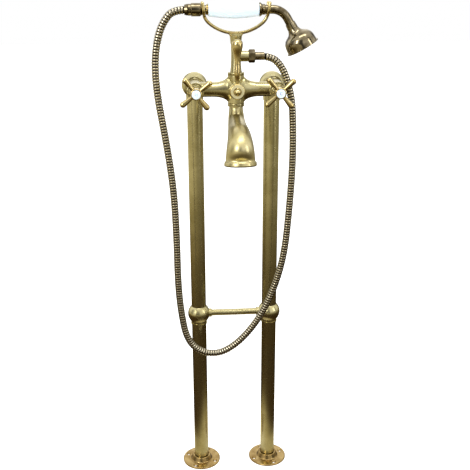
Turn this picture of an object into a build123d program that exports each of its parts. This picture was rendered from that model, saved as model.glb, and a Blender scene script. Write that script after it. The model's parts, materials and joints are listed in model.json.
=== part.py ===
from build123d import *
from math import asin, cos, hypot, pi, radians, sin, sqrt, tan
import os

# Floor-standing bath mixer with two supply legs, a tub spout and a hand shower in a cradle.
# Millimetres. The origin is on the floor, midway between the legs. +X is to the right of
# someone who faces the mixer, +Z is up, and the handles and the spout face -Y.

# Shared clearances
cut_overrun = 2.0
seat_gap = 0.1
running_gap = 0.05
free_gap = 0.3

# Legs
leg_spacing = 150.0
leg_diameter = 31.0
leg_wall = 2.5
leg_inlet_radius = 12.05
leg_inlet_depth = 16.0
mixer_height = 846.0
mixer_set_forward = 70.0

# Floor flanges
flange_diameter = 83.0
flange_thickness = 3.6
flange_edge_rounding = 1.6
flange_boss_base_diameter = 47.0
flange_boss_top_diameter = 38.6
flange_boss_height = 13.5
flange_boss_rounding = 1.2
flange_cove_radius = 2.0
flange_mouth_diameter = 34.4
flange_mouth_depth = 3.0
flange_hole_circle = 66.0
flange_hole_count = 4
flange_hole_diameter = 5.5
flange_sink_diameter = 10.0
flange_sink_angle = 90
left_hole_angle = 63.5
right_hole_angle = 20.7

# Ball tees and the crossbar between them
tee_height = 364.6
tee_ball_radius = 23.3
tee_neck_radius = 16.4
tee_lip_radius = 17.2
tee_lip_height = 2.2
tee_neck_reach = 22.5
tee_stop_half_height = 4.0
tee_boss_radius = 9.2
tee_boss_reach = 27.5
tee_boss_rounding = 1.0
crossbar_diameter = 13.6
crossbar_wall = 1.5
crossbar_socket_depth = 8.0

# Ball elbows at the top of the legs
elbow_ball_radius = 24.8
elbow_neck_radius = 17.0
elbow_neck_end_radius = 16.5
elbow_neck_reach = 31.0
elbow_leg_stop = 14.0
elbow_collar_radius = 19.2
elbow_collar_length = 9.0
elbow_collar_rounding = 1.2
spigot_radius = 13.15
spigot_bore_radius = 9.5

# Union between elbow and mixer
union_across_flats = 31.0
union_chamfer = 1.6
union_thread_length = 9.0
union_lip_thickness = 2.6
union_washer_thickness = 2.0
tail_flange_thickness = 3.0
tail_flange_radius = 12.8
tail_neck_radius = 10.0
tail_neck_length = 4.0

# Mixer body
barrel_radius = 15.0
barrel_half_length = 25.0
barrel_lip_radius = 15.8
barrel_lip_length = 2.4
barrel_edge_rounding = 1.0
arm_radius = 13.4
arm_flare_start = 43.0
arm_flare_length = 28.0
arm_flare_rise = 11.8
arm_flare_depth_rise = 1.6
arm_flare_shares = [0.0, 0.3, 0.55, 0.75, 0.88, 0.97]
hub_radius = 15.0
hub_half_height = 25.5
hub_edge_rounding = 1.2
diverter_boss_radius = 14.8
diverter_boss_reach = 22.0
arm_bore_radius = 7.0
inlet_bore_radius = 6.5
hub_socket_radius = 9.6
hub_socket_depth = 13.0
hub_bore_radius = 6.0

# Valve inside each barrel
disc_seat_set_back = 14.0
disc_radius = 8.6
fixed_disc_thickness = 2.6
turning_disc_thickness = 2.4
disc_port_radius = 2.2
disc_port_offset = 4.8
chamber_radius = 9.0
cage_inner_radius = 5.4
cage_window_width = 7.0
cage_window_length = 13.0
thread_bore_radius = 9.8
thread_length = 15.0
headwork_flange_across_flats = 20.0
headwork_flange_thickness = 4.0
headwork_neck_radius = 7.0
headwork_neck_length = 9.0
spindle_radius = 4.0
spindle_tongue_width = 3.0
spindle_tongue_length = 1.6

# Bonnets, the turned covers between the barrels and the handles
bonnet_base_radius = 12.4
bonnet_base_length = 5.0
bonnet_waist_radius = 9.6
bonnet_bead_radius = 11.0
bonnet_bead_length = 3.0
bonnet_top_radius = 9.2
bonnet_length = 22.8
bonnet_rounding = 0.8

# Cross handles
handle_hub_radius = 10.2
handle_hub_length = 18.6
handle_hub_rounding = 1.4
handle_index_recess_radius = 7.9
handle_index_recess_depth = 4.2
handle_socket_depth = 9.5
handle_arm_count = 4
handle_arm_root_radius = 3.2
handle_arm_tip_radius = 5.5
handle_arm_reach = 35.4
handle_arm_set_back = 8.6
hot_handle_angle = 38.0
cold_handle_angle = 41.0
index_rim_thickness = 3.0
index_dome_height = 1.9
screw_shank_radius = 1.6
screw_shank_length = 7.0
screw_head_radius = 3.4
screw_head_thickness = 1.1
screw_slot_width = 0.9
screw_slot_depth = 0.5

# Diverter
diverter_chamber_radius = 9.1
diverter_chamber_depth = 31.0
plug_port_radius = 5.0
diverter_cover_radius = 14.4
diverter_cover_thickness = 4.6
diverter_cover_spigot_length = 6.5
lever_disc_radius = 13.8
lever_disc_thickness = 10.7
lever_disc_rounding = 2.2
lever_neck_radius = 3.0
lever_neck_height = 15.5
lever_collar_radius = 5.6
lever_collar_height = 30.0
lever_waist_radius = 4.9
lever_waist_height = 47.0
lever_shoulder_radius = 7.0
lever_shoulder_height = 67.0
lever_bulb_radius = 9.9
lever_bulb_height = 79.0
lever_top_height = 91.8
dome_nut_across_flats = 13.0
dome_nut_flats_length = 4.5
dome_nut_chamfer = 0.7
dome_nut_bore_depth = 5.0

# Shower column above the mixer
ring_radius = 15.4
ring_height = 5.6
ring_groove_depth = 1.1
ring_groove_width = 1.2
ring_rounding = 0.9
column_base_radius = 10.8
column_waist_radius = 9.2
column_waist_height = 48.0
column_top_radius = 11.2
column_top_height = 70.0
column_bore_radius = 4.5
saddle_half_length = 15.0
outlet_height = 59.6
outlet_radius = 9.8
outlet_reach = 23.0
outlet_edge_rounding = 0.8
outlet_spigot_radius = 9.0
outlet_spigot_length = 7.0

# Cradle for the hand shower
cradle_rod_radius = 3.0
cradle_bulge = 1.6
cradle_drop = 39.0
cradle_turn_angle = 40.0
fork_side_gap = 1.2
fork_prong_rise = 11.0
fork_prong_clearance = 2.3
fork_lean_angle = 8.0
fork_rod_radius = 2.8
saddle_height = 4.6817
cradle_lift = 0.3

# Spout
spout_first_bend = 28.0
spout_second_bend = 28.0
spout_slope_angle = 78.0
spout_mouth_angle = 8.0
spout_straight = 58.0
spout_first_drop = 3.0
spout_last_drop = 18.0
# Outer radius at each section from the neck to the mouth
spout_radii = [12.6, 12.8, 14.9, 16.4, 18.5, 20.9, 22.9, 25.2, 26.6]
spout_lip_radius = 28.4
spout_lip_height = 9.6
spout_lip_rounding = 2.6
spout_wall = 2.8
spout_spigot_radius = 9.5
spout_spigot_length = 10.0
spout_bore_radius = 7.5

# Hand shower
handset_tube_radius = 7.85
handset_tube_wall = 1.2
grip_half_length = 45.8
grip_centre = -3.8
grip_end_radius = 11.3
grip_middle_radius = 15.3
grip_end_rounding = 1.0
grip_bore_radius = 7.2
core_radius = 6.9
core_wall = 1.2
rear_collar_length = 3.6
rear_collar_radius = 11.1
rear_collar_waist_radius = 8.4
rear_collar_rounding = 0.6
inlet_length = 16.0
inlet_radius = 11.6
inlet_cone_length = 5.4
inlet_neck_radius = 7.85
inlet_edge_rounding = 1.2
inlet_spigot_radius = 8.0
inlet_spigot_length = 4.5
inlet_bore_radius_handset = 4.5
front_collar_length = 10.6
front_collar_radius = 12.2
front_collar_end_radius = 8.9
front_collar_waist_radius = 8.9
handset_run_past_fork = 8.9
handset_bend_radius = 32.0
handset_bend_angle = 60.0
handset_end_length = 17.1
bell_collar_radius = 8.9
bell_collar_end_radius = 9.8
bell_collar_length = 10.2
# Outline of the bell from its collar to its lip: radius and distance from the collar's end
bell_outline = [
    (9.4, 10.8),
    (10.4, 14.0),
    (12.8, 18.4),
    (19.4, 23.0),
    (24.9, 28.0),
    (27.8, 34.0),
    (28.8, 41.0),
    (29.3, 47.4),
]
bell_lip_radius = 31.3
bell_length = 49.6
bell_lip_rounding = 0.5
bell_wall = 1.5
bell_socket_depth = 8.0
spray_recess_radius = 28.4
spray_recess_depth = 4.6
spray_plate_thickness = 2.4
spray_hole_radius = 1.0
spray_ring_counts = [1, 8, 14, 20]
spray_ring_shares = [0.0, 0.3, 0.55, 0.8]

# Hose fittings
hose_nut_across_flats = 21.2
hose_nut_length = 11.7
hose_nut_chamfer = 1.2
hose_washer_thickness = 1.2
hose_washer_bore_radius = 4.7
ferrule_radius = 7.3
ferrule_length = 20.8
ferrule_stop_length = 6.4
ferrule_flange_radius = 8.6
ferrule_flange_thickness = 1.4
ferrule_mouth_rounding = 0.5
cone_nut_length = 11.8
cone_nut_radius = 10.3
cone_nut_tip_radius = 8.7
cone_nut_groove_radius = 9.5
cone_nut_groove_width = 1.4
upper_ferrule_flange_radius = 7.9
upper_ferrule_radius = 7.2

# Hose
hose_radius = 7.0
hose_valley_radius = 6.2
hose_bore_radius = 4.6
hose_rib_count = 96
hose_smooth_length = 16.5
hose_smooth_top_length = 8.0
# Where each rib has its four rings, as shares of its pitch
hose_ring_shares = [0.0, 0.36, 0.5, 0.86]
hose_arc_share = 0.45
# Route in the plane of the mixer: distance to the right and height above the floor
hose_route = [
    (37.6, 905.6),
    (63.2, 905.6),
    (82.8, 889.0),
    (95.5, 862.0),
    (105.0, 822.0),
    (107.5, 778.0),
    (108.6, 730.0),
    (107.6, 681.0),
    (105.0, 632.0),
    (101.6, 584.0),
    (97.6, 538.0),
    (89.5, 492.0),
    (75.5, 444.0),
    (54.0, 394.0),
    (26.0, 351.5),
    (-5.0, 320.0),
    (-36.0, 303.5),
    (-67.0, 306.0),
    (-90.8, 322.6),
    (-104.2, 350.0),
    (-110.4, 386.8),
    (-115.2, 432.0),
    (-117.0, 482.0),
    (-117.0, 532.0),
    (-117.6, 582.0),
    (-119.2, 632.0),
    (-123.0, 682.0),
    (-129.0, 731.0),
    (-136.0, 779.0),
    (-143.5, 826.0),
    (-147.4, 870.0),
    (-146.2, 910.0),
    (-139.2, 944.5),
    (-129.2, 967.0),
    (-112.0, 987.0),
    (-85.8, 987.0),
]

UP = Vector(0, 0, 1)
DOWN = Vector(0, 0, -1)
FORWARD = Vector(0, -1, 0)
RIGHT = Vector(1, 0, 0)
LEFT = Vector(-1, 0, 0)

leg_radius = leg_diameter / 2
leg_bore_radius = leg_radius - leg_wall
leg_socket_radius = leg_radius + seat_gap
half_spacing = leg_spacing / 2

# Places along the valve line, as distances forward of the legs
barrel_rear = mixer_set_forward - barrel_half_length
barrel_front = mixer_set_forward + barrel_half_length
tail_flange_front = barrel_rear - tail_neck_length
tail_flange_rear = tail_flange_front - tail_flange_thickness
spigot_end = tail_flange_rear - union_washer_thickness
elbow_collar_front = spigot_end - union_thread_length - seat_gap
elbow_collar_rear = elbow_collar_front - elbow_collar_length
union_rear = spigot_end - union_thread_length + seat_gap
union_front = tail_flange_front + union_lip_thickness
disc_seat = mixer_set_forward - disc_seat_set_back
turning_disc_rear = disc_seat + fixed_disc_thickness + running_gap
spindle_rear = turning_disc_rear + turning_disc_thickness
thread_rear = barrel_front - thread_length
headwork_neck_front = barrel_front + headwork_flange_thickness + headwork_neck_length
bonnet_front = barrel_front + bonnet_length
handle_rear = bonnet_front + free_gap
handle_front = handle_rear + handle_hub_length
index_floor = handle_front - handle_index_recess_depth
spindle_front = handle_rear + handle_socket_depth - seat_gap

# Places along the diverter line
diverter_boss_front = mixer_set_forward + diverter_boss_reach
diverter_chamber_rear = diverter_boss_front - diverter_chamber_depth
plug_front = diverter_boss_front - diverter_cover_spigot_length - free_gap
lever_rear = diverter_boss_front + diverter_cover_thickness + free_gap
lever_front = lever_rear + lever_disc_thickness
dome_radius = dome_nut_across_flats / 2 - dome_nut_chamfer
dome_start = lever_front + dome_nut_flats_length
plug_spindle_front = lever_front + dome_nut_bore_depth - seat_gap

# Heights on the mixer's own axis
column_base = mixer_height + hub_half_height
outlet_axis_height = mixer_height + outlet_height
spout_top = mixer_height - hub_half_height

# Places along the hand shower, from the mixer's own axis
grip_left = grip_centre - grip_half_length
grip_right = grip_centre + grip_half_length
rear_collar_left = grip_left - rear_collar_length
inlet_right = rear_collar_left - seat_gap
inlet_left = inlet_right - inlet_length - 2 * inlet_cone_length
front_collar_right = grip_right + front_collar_length
fork_half_spacing = front_collar_right + fork_rod_radius + fork_side_gap
handset_straight = fork_half_spacing + handset_run_past_fork
nut_right = inlet_left - seat_gap
nut_left = nut_right - cone_nut_length

# The cradle's bow: a wide bottom arc of the named turn between two end arcs that stand up at its sides,
# so bottom * sin + end * (1 - sin) = half width and bottom * (1 - cos) + end * cos = drop
cradle_half_width = fork_half_spacing + cradle_bulge
cradle_turn = radians(cradle_turn_angle)
turn_across = 1 - sin(cradle_turn)
turn_up = 1 - cos(cradle_turn)
turn_measure = sin(cradle_turn) * cos(cradle_turn) - turn_across * turn_up
bow_bottom_radius = (cradle_half_width * cos(cradle_turn) - cradle_drop * turn_across) / turn_measure
bow_end_radius = (cradle_half_width - bow_bottom_radius * sin(cradle_turn)) / turn_across
bow_end_centre = cradle_half_width - bow_end_radius
bow_end_rise = sqrt(bow_end_radius**2 - (fork_half_spacing - bow_end_centre) ** 2)

# Heights of the cradle on the column and of the hand shower in its forks
bow_bottom_height = column_base + column_top_height + saddle_height
bow_end_height = bow_bottom_height + cradle_drop
fork_floor = bow_end_height - bow_end_rise
handset_height = fork_floor + cradle_rod_radius + cradle_lift + handset_tube_radius


def at(right, forward, height):
    """A point given as right of the middle, forward of the legs and above the floor."""
    return Vector(right, -forward, height)


def profile_plane(origin, axis):
    """A sketch plane with the radius along its X and the turning axis along its Y."""
    radial = RIGHT if abs(axis.Y) > abs(axis.X) + abs(axis.Z) else Vector(0, 1, 0)
    return Plane(origin=origin, x_dir=radial, z_dir=radial.cross(axis))


def face_plane(origin, axis, x_dir=None):
    """A sketch plane square to an axis."""
    return Plane(origin=origin, x_dir=x_dir, z_dir=axis)


def turn_profile(origin, axis, outline, mode=Mode.ADD):
    """Revolve an outline of (radius, distance along the axis, corner rounding)."""
    points = [(radius, along) for radius, along, _ in outline]
    roundings = [rounding for _, _, rounding in outline]
    with BuildSketch(profile_plane(origin, axis)) as half_section:
        with BuildLine():
            FilletPolyline(*points, radius=roundings, close=True)
        make_face()
    revolve(half_section.sketch, axis=Axis(origin, axis), mode=mode)


def bore(origin, axis, radius, start, end):
    """Cut a round hole along an axis between two distances from the origin."""
    with BuildSketch(face_plane(origin + axis * start, axis)) as round_hole:
        Circle(radius)
    extrude(round_hole.sketch, amount=end - start, mode=Mode.SUBTRACT)


def hexagon_bar(origin, axis, across_flats, start, end, corner_chamfer, x_dir):
    """A hexagon bar with its corners turned off at both ends."""
    flat = across_flats / 2
    corner = flat / cos(pi / 6)
    with BuildSketch(face_plane(origin + axis * start, axis, x_dir)) as hexagon:
        RegularPolygon(radius=flat, side_count=6, major_radius=False)
    extrude(hexagon.sketch, amount=end - start)
    turn_profile(
        origin,
        axis,
        [
            (0, start, 0),
            (corner - corner_chamfer, start, 0),
            (corner + seat_gap, start + corner_chamfer, 0),
            (corner + seat_gap, end - corner_chamfer, 0),
            (corner - corner_chamfer, end, 0),
            (0, end, 0),
        ],
        mode=Mode.INTERSECT,
    )


def keep(piece, label):
    """Name a finished piece and write it."""
    piece.part.label = label
    export_step(piece.part, f"parts/{label}.step")


def make_floor_flange(side_name, right, hole_angle):
    """Floor plate with a turned boss and countersunk screw holes."""
    foot = at(right, 0, 0)
    bore_radius = leg_radius + seat_gap
    with BuildPart() as flange:
        turn_profile(
            foot,
            UP,
            [
                (bore_radius, 0, 0),
                (flange_diameter / 2, 0, 0),
                (flange_diameter / 2, flange_thickness, flange_edge_rounding),
                (flange_boss_base_diameter / 2, flange_thickness, flange_cove_radius),
                (flange_boss_top_diameter / 2, flange_boss_height, flange_boss_rounding),
                (flange_mouth_diameter / 2, flange_boss_height, 0),
                (flange_mouth_diameter / 2, flange_boss_height - flange_mouth_depth, 0),
                (bore_radius, flange_boss_height - flange_mouth_depth, 0),
            ],
        )
        with Locations(Plane(origin=at(right, 0, flange_thickness))):
            with PolarLocations(flange_hole_circle / 2, flange_hole_count, hole_angle):
                CounterSinkHole(
                    flange_hole_diameter / 2,
                    flange_sink_diameter / 2,
                    depth=flange_thickness,
                    counter_sink_angle=flange_sink_angle,
                )
    keep(flange, f"{side_name}_floor_flange")


def make_legs(side_name, right):
    """Lower leg with its supply thread bore at the foot, and upper leg."""
    foot = at(right, 0, 0)
    lower_top = tee_height - tee_stop_half_height - seat_gap
    upper_foot = tee_height + tee_stop_half_height + seat_gap
    upper_top = mixer_height - elbow_leg_stop - seat_gap
    with BuildPart() as lower_leg:
        turn_profile(
            foot,
            UP,
            [
                (leg_inlet_radius, 0, 0),
                (leg_radius, 0, 0),
                (leg_radius, lower_top, 0),
                (leg_bore_radius, lower_top, 0),
                (leg_bore_radius, leg_inlet_depth, 0),
                (leg_inlet_radius, leg_inlet_depth, 0),
            ],
        )
    keep(lower_leg, f"{side_name}_lower_leg")
    with BuildPart() as upper_leg:
        with BuildSketch(Plane(origin=at(right, 0, upper_foot))):
            Circle(leg_radius)
            Circle(leg_bore_radius, mode=Mode.SUBTRACT)
        extrude(amount=upper_top - upper_foot)
    keep(upper_leg, f"{side_name}_upper_leg")


def make_ball_tee(side_name, right):
    """Ball joint piece between the two leg tubes, with a socket for the crossbar."""
    centre = at(right, 0, tee_height)
    inward = LEFT if right > 0 else RIGHT
    socket_floor = tee_boss_reach - crossbar_socket_depth
    neck_join = -sqrt(tee_ball_radius**2 - tee_neck_radius**2)
    top_join = sqrt(tee_ball_radius**2 - leg_radius**2)
    with BuildPart() as tee:
        with BuildSketch(profile_plane(centre, UP)):
            with BuildLine():
                ThreePointArc((leg_radius, top_join), (tee_ball_radius, 0), (tee_neck_radius, neck_join))
                Polyline(
                    (tee_neck_radius, neck_join),
                    (tee_neck_radius, tee_lip_height - tee_neck_reach),
                    (tee_lip_radius, tee_lip_height - tee_neck_reach),
                    (tee_lip_radius, -tee_neck_reach),
                    (0, -tee_neck_reach),
                    (0, top_join),
                    (leg_radius, top_join),
                )
            make_face()
        revolve(axis=Axis(centre, UP))
        turn_profile(
            centre,
            inward,
            [
                (0, 0, 0),
                (tee_boss_radius, 0, 0),
                (tee_boss_radius, tee_boss_reach, tee_boss_rounding),
                (0, tee_boss_reach, 0),
            ],
        )
        bore(centre, UP, leg_bore_radius, -tee_ball_radius - cut_overrun, tee_ball_radius + cut_overrun)
        bore(centre, UP, leg_socket_radius, -tee_ball_radius - cut_overrun, -tee_stop_half_height)
        bore(centre, UP, leg_socket_radius, tee_stop_half_height, tee_ball_radius + cut_overrun)
        bore(
            centre,
            inward,
            crossbar_diameter / 2 + seat_gap,
            socket_floor,
            tee_boss_reach + cut_overrun,
        )
    keep(tee, f"{side_name}_ball_tee")


def make_crossbar():
    """Brace tube between the ball tees."""
    reach = half_spacing - tee_boss_reach + crossbar_socket_depth - seat_gap
    with BuildPart() as crossbar:
        with BuildSketch(face_plane(at(-reach, 0, tee_height), RIGHT)):
            Circle(crossbar_diameter / 2)
            Circle(crossbar_diameter / 2 - crossbar_wall, mode=Mode.SUBTRACT)
        extrude(amount=2 * reach)
    keep(crossbar, "crossbar")


def make_elbow(side_name, right):
    """Ball elbow that turns the supply from the leg towards the mixer."""
    centre = at(right, 0, mixer_height)
    neck_join = -sqrt(elbow_ball_radius**2 - elbow_neck_radius**2)
    with BuildPart() as elbow:
        with BuildSketch(profile_plane(centre, UP)):
            with BuildLine():
                ThreePointArc((0, elbow_ball_radius), (elbow_ball_radius, 0), (elbow_neck_radius, neck_join))
                Polyline(
                    (elbow_neck_radius, neck_join),
                    (elbow_neck_end_radius, -elbow_neck_reach),
                    (0, -elbow_neck_reach),
                    (0, elbow_ball_radius),
                )
            make_face()
        revolve(axis=Axis(centre, UP))
        turn_profile(
            centre,
            FORWARD,
            [
                (0, elbow_collar_rear, 0),
                (elbow_collar_radius, elbow_collar_rear, 0),
                (elbow_collar_radius, elbow_collar_front, elbow_collar_rounding),
                (spigot_radius, elbow_collar_front, 0),
                (spigot_radius, spigot_end, 0),
                (0, spigot_end, 0),
            ],
        )
        bore(centre, DOWN, leg_socket_radius, elbow_leg_stop, elbow_neck_reach + cut_overrun)
        bore(centre, DOWN, leg_bore_radius, 0, elbow_leg_stop)
        bore(centre, FORWARD, spigot_bore_radius, 0, spigot_end + cut_overrun)
    keep(elbow, f"{side_name}_elbow")


def make_union_nut(side_name, right):
    """Hexagon nut that draws the mixer's tail flange onto the elbow."""
    line = at(right, 0, mixer_height)
    with BuildPart() as nut:
        hexagon_bar(line, FORWARD, union_across_flats, union_rear, union_front, union_chamfer, UP)
        bore(line, FORWARD, spigot_radius + seat_gap, union_rear - cut_overrun, tail_flange_front + seat_gap)
        bore(line, FORWARD, tail_neck_radius + seat_gap, tail_flange_front, union_front + cut_overrun)
    keep(nut, f"{side_name}_union_nut")


def make_union_washers():
    """Fibre washers between the elbows and the mixer's tail flanges."""
    with BuildPart() as washers:
        for right in (-half_spacing, half_spacing):
            with BuildSketch(face_plane(at(right, spigot_end, mixer_height), FORWARD)):
                Circle(tail_flange_radius)
                Circle(spigot_bore_radius, mode=Mode.SUBTRACT)
            extrude(amount=union_washer_thickness)
    keep(washers, "union_washers")


def flare_section(share):
    """Distance from the middle, half depth and half height of an arm where it meets the hub."""
    distance = arm_flare_start - arm_flare_length * share
    rise = arm_flare_rise * (1 - sqrt(1 - share**2))
    depth_rise = arm_flare_depth_rise * (1 - sqrt(1 - share**2))
    return distance, arm_radius + depth_rise, arm_radius + rise


def make_mixer_body():
    """One casting: hub, two flared arms and a valve barrel at each end."""
    middle = at(0, mixer_set_forward, mixer_height)
    with BuildPart() as body:
        turn_profile(
            middle,
            UP,
            [
                (0, -hub_half_height, 0),
                (hub_radius, -hub_half_height, hub_edge_rounding),
                (hub_radius, hub_half_height, hub_edge_rounding),
                (0, hub_half_height, 0),
            ],
        )
        for side in (RIGHT, LEFT):
            sections = [flare_section(share) for share in arm_flare_shares]
            for distance, half_depth, half_height in sections:
                with BuildSketch(face_plane(middle + side * distance, side, UP)):
                    Ellipse(half_height, half_depth)
            loft()
            with BuildSketch(face_plane(middle + side * arm_flare_start, side)):
                Circle(arm_radius)
            extrude(amount=half_spacing - arm_flare_start)
            inner_distance, inner_depth, inner_height = sections[-1]
            with BuildSketch(face_plane(middle, side, UP)):
                Ellipse(inner_height, inner_depth)
            extrude(amount=inner_distance)
        for right in (-half_spacing, half_spacing):
            turn_profile(
                at(right, 0, mixer_height),
                FORWARD,
                [
                    (0, tail_flange_rear, 0),
                    (tail_flange_radius, tail_flange_rear, 0),
                    (tail_flange_radius, tail_flange_front, 0),
                    (tail_neck_radius, tail_flange_front, 0),
                    (tail_neck_radius, barrel_rear, 0),
                    (barrel_radius, barrel_rear, barrel_edge_rounding),
                    (barrel_radius, barrel_front - barrel_lip_length, 0),
                    (barrel_lip_radius, barrel_front - barrel_lip_length, 0),
                    (barrel_lip_radius, barrel_front, barrel_edge_rounding),
                    (0, barrel_front, 0),
                ],
            )
        turn_profile(
            at(0, 0, mixer_height),
            FORWARD,
            [
                (0, mixer_set_forward, 0),
                (diverter_boss_radius, mixer_set_forward, 0),
                (diverter_boss_radius, diverter_boss_front, hub_edge_rounding),
                (0, diverter_boss_front, 0),
            ],
        )
        for side in (RIGHT, LEFT):
            bore(middle, side, arm_bore_radius, 0, half_spacing)
        for right in (-half_spacing, half_spacing):
            line = at(right, 0, mixer_height)
            bore(line, FORWARD, inlet_bore_radius, tail_flange_rear - cut_overrun, mixer_set_forward)
            bore(line, FORWARD, chamber_radius, disc_seat, barrel_front)
            bore(line, FORWARD, thread_bore_radius, thread_rear, barrel_front + cut_overrun)
        bore(
            at(0, 0, mixer_height),
            FORWARD,
            diverter_chamber_radius,
            diverter_chamber_rear,
            diverter_boss_front + cut_overrun,
        )
        for direction in (UP, DOWN):
            bore(middle, direction, hub_bore_radius, 0, hub_half_height)
            bore(
                middle,
                direction,
                hub_socket_radius,
                hub_half_height - hub_socket_depth,
                hub_half_height + cut_overrun,
            )
    keep(body, "mixer_body")


def make_fixed_discs():
    """Ceramic discs that stay still in the barrels, with two ports each."""
    with BuildPart() as discs:
        for right in (-half_spacing, half_spacing):
            with BuildSketch(face_plane(at(right, disc_seat, mixer_height), FORWARD, UP)):
                Circle(disc_radius)
                with PolarLocations(disc_port_offset, 2):
                    Circle(disc_port_radius, mode=Mode.SUBTRACT)
            extrude(amount=fixed_disc_thickness)
    keep(discs, "fixed_valve_discs")


def make_headwork(name, right):
    """Brass valve head: cage with side windows, thread, hexagon flange and neck."""
    line = at(right, 0, mixer_height)
    cage_rear = spindle_rear + free_gap
    window_middle = (cage_rear + thread_rear) / 2
    flange_front = barrel_front + headwork_flange_thickness
    with BuildPart() as headwork:
        hexagon_bar(
            line,
            FORWARD,
            headwork_flange_across_flats,
            barrel_front,
            flange_front,
            bonnet_rounding,
            UP,
        )
        turn_profile(
            line,
            FORWARD,
            [
                (0, cage_rear, 0),
                (chamber_radius - seat_gap, cage_rear, 0),
                (chamber_radius - seat_gap, thread_rear + seat_gap, 0),
                (thread_bore_radius - seat_gap, thread_rear + seat_gap, 0),
                (thread_bore_radius - seat_gap, barrel_front, 0),
                (headwork_neck_radius, barrel_front, 0),
                (headwork_neck_radius, headwork_neck_front, bonnet_rounding),
                (0, headwork_neck_front, 0),
            ],
        )
        bore(line, FORWARD, spindle_radius + running_gap, cage_rear, headwork_neck_front + cut_overrun)
        bore(line, FORWARD, cage_inner_radius, cage_rear - cut_overrun, thread_rear)
        with BuildSketch(face_plane(at(right - chamber_radius, window_middle, mixer_height), RIGHT, UP)):
            SlotOverall(cage_window_length, cage_window_width, rotation=90)
        extrude(amount=2 * chamber_radius, mode=Mode.SUBTRACT)
    keep(headwork, f"{name}_headwork")


def make_spindle_and_disc(name, right):
    """Spindle that the handle turns, and the ceramic disc on its tongue."""
    line = at(right, 0, mixer_height)
    screw_hole_floor = spindle_front - screw_shank_length
    with BuildPart() as spindle:
        turn_profile(
            line,
            FORWARD,
            [
                (0, spindle_rear + seat_gap, 0),
                (spindle_radius, spindle_rear + seat_gap, 0),
                (spindle_radius, spindle_front, 0),
                (0, spindle_front, 0),
            ],
        )
        with BuildSketch(face_plane(at(right, spindle_rear + seat_gap, mixer_height), FORWARD * -1, UP)):
            Rectangle(spindle_radius, spindle_tongue_width)
        extrude(amount=spindle_tongue_length)
        bore(line, FORWARD, screw_shank_radius + seat_gap, screw_hole_floor, spindle_front + cut_overrun)
    keep(spindle, f"{name}_spindle")
    with BuildPart() as disc:
        with BuildSketch(face_plane(at(right, turning_disc_rear, mixer_height), FORWARD, UP)):
            Circle(disc_radius - running_gap)
            with PolarLocations(disc_port_offset, 2, 90):
                Circle(disc_port_radius, mode=Mode.SUBTRACT)
            Rectangle(
                spindle_radius + 2 * seat_gap,
                spindle_tongue_width + 2 * seat_gap,
                mode=Mode.SUBTRACT,
            )
        extrude(amount=turning_disc_thickness)
    keep(disc, f"{name}_turning_disc")


def make_bonnet(name, right):
    """Turned cover over the valve head, with a bead behind the handle."""
    line = at(right, 0, mixer_height)
    base_front = barrel_front + bonnet_base_length
    bead_front = base_front + (bonnet_length - bonnet_base_length + bonnet_bead_length) / 2
    bead_rear = bead_front - bonnet_bead_length
    cavity_radius = headwork_flange_across_flats / 2 / cos(pi / 6) + seat_gap
    flange_front = barrel_front + headwork_flange_thickness + seat_gap
    base_radius = max(bonnet_base_radius, cavity_radius + bonnet_rounding)
    with BuildPart() as bonnet:
        turn_profile(
            line,
            FORWARD,
            [
                (0, barrel_front, 0),
                (base_radius, barrel_front, bonnet_rounding),
                (base_radius, base_front, bonnet_rounding),
                (bonnet_waist_radius, base_front, bonnet_rounding),
                (bonnet_waist_radius, bead_rear, 0),
                (bonnet_bead_radius, bead_rear, bonnet_rounding),
                (bonnet_bead_radius, bead_front, bonnet_rounding),
                (bonnet_top_radius, bead_front, 0),
                (bonnet_top_radius, bonnet_front, bonnet_rounding),
                (0, bonnet_front, 0),
            ],
        )
        bore(line, FORWARD, cavity_radius, barrel_front - cut_overrun, flange_front)
        bore(line, FORWARD, headwork_neck_radius + seat_gap, flange_front, headwork_neck_front + seat_gap)
        bore(line, FORWARD, spindle_radius + free_gap, headwork_neck_front, bonnet_front + cut_overrun)
    keep(bonnet, f"{name}_bonnet")


def make_handle(name, right, first_arm_angle):
    """Four-arm cross handle with a recess for its porcelain index."""
    line = at(right, 0, mixer_height)
    arm_height = handle_front - handle_arm_set_back
    arm_bend = handle_arm_reach - handle_arm_tip_radius
    with BuildPart() as handle:
        turn_profile(
            line,
            FORWARD,
            [
                (0, handle_rear, 0),
                (bonnet_top_radius, handle_rear, 0),
                (handle_hub_radius, handle_rear + handle_hub_rounding, 0),
                (handle_hub_radius, handle_front, handle_hub_rounding),
                (0, handle_front, 0),
            ],
        )
        for number in range(handle_arm_count):
            angle = radians(first_arm_angle + 360 / handle_arm_count * number)
            outward = RIGHT * cos(angle) + UP * sin(angle)
            root = at(right, arm_height, mixer_height)
            with BuildSketch(Plane(origin=root, x_dir=FORWARD, z_dir=FORWARD.cross(outward))):
                with BuildLine():
                    Line((0, handle_index_recess_radius), (handle_arm_root_radius, handle_index_recess_radius))
                    flank = Line(
                        (handle_arm_root_radius, handle_index_recess_radius),
                        (handle_arm_tip_radius, arm_bend),
                    )
                    ThreePointArc(
                        flank @ 1,
                        (
                            handle_arm_tip_radius * cos(pi / 4),
                            arm_bend + handle_arm_tip_radius * sin(pi / 4),
                        ),
                        (0, handle_arm_reach),
                    )
                    Line((0, handle_arm_reach), (0, handle_index_recess_radius))
                make_face()
            revolve(axis=Axis(root, outward))
        bore(line, FORWARD, spindle_radius + seat_gap, handle_rear - cut_overrun, handle_rear + handle_socket_depth)
        bore(line, FORWARD, screw_shank_radius + seat_gap, handle_rear, index_floor)
        bore(line, FORWARD, handle_index_recess_radius, index_floor, handle_front + cut_overrun)
    keep(handle, f"{name}_handle")


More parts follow.
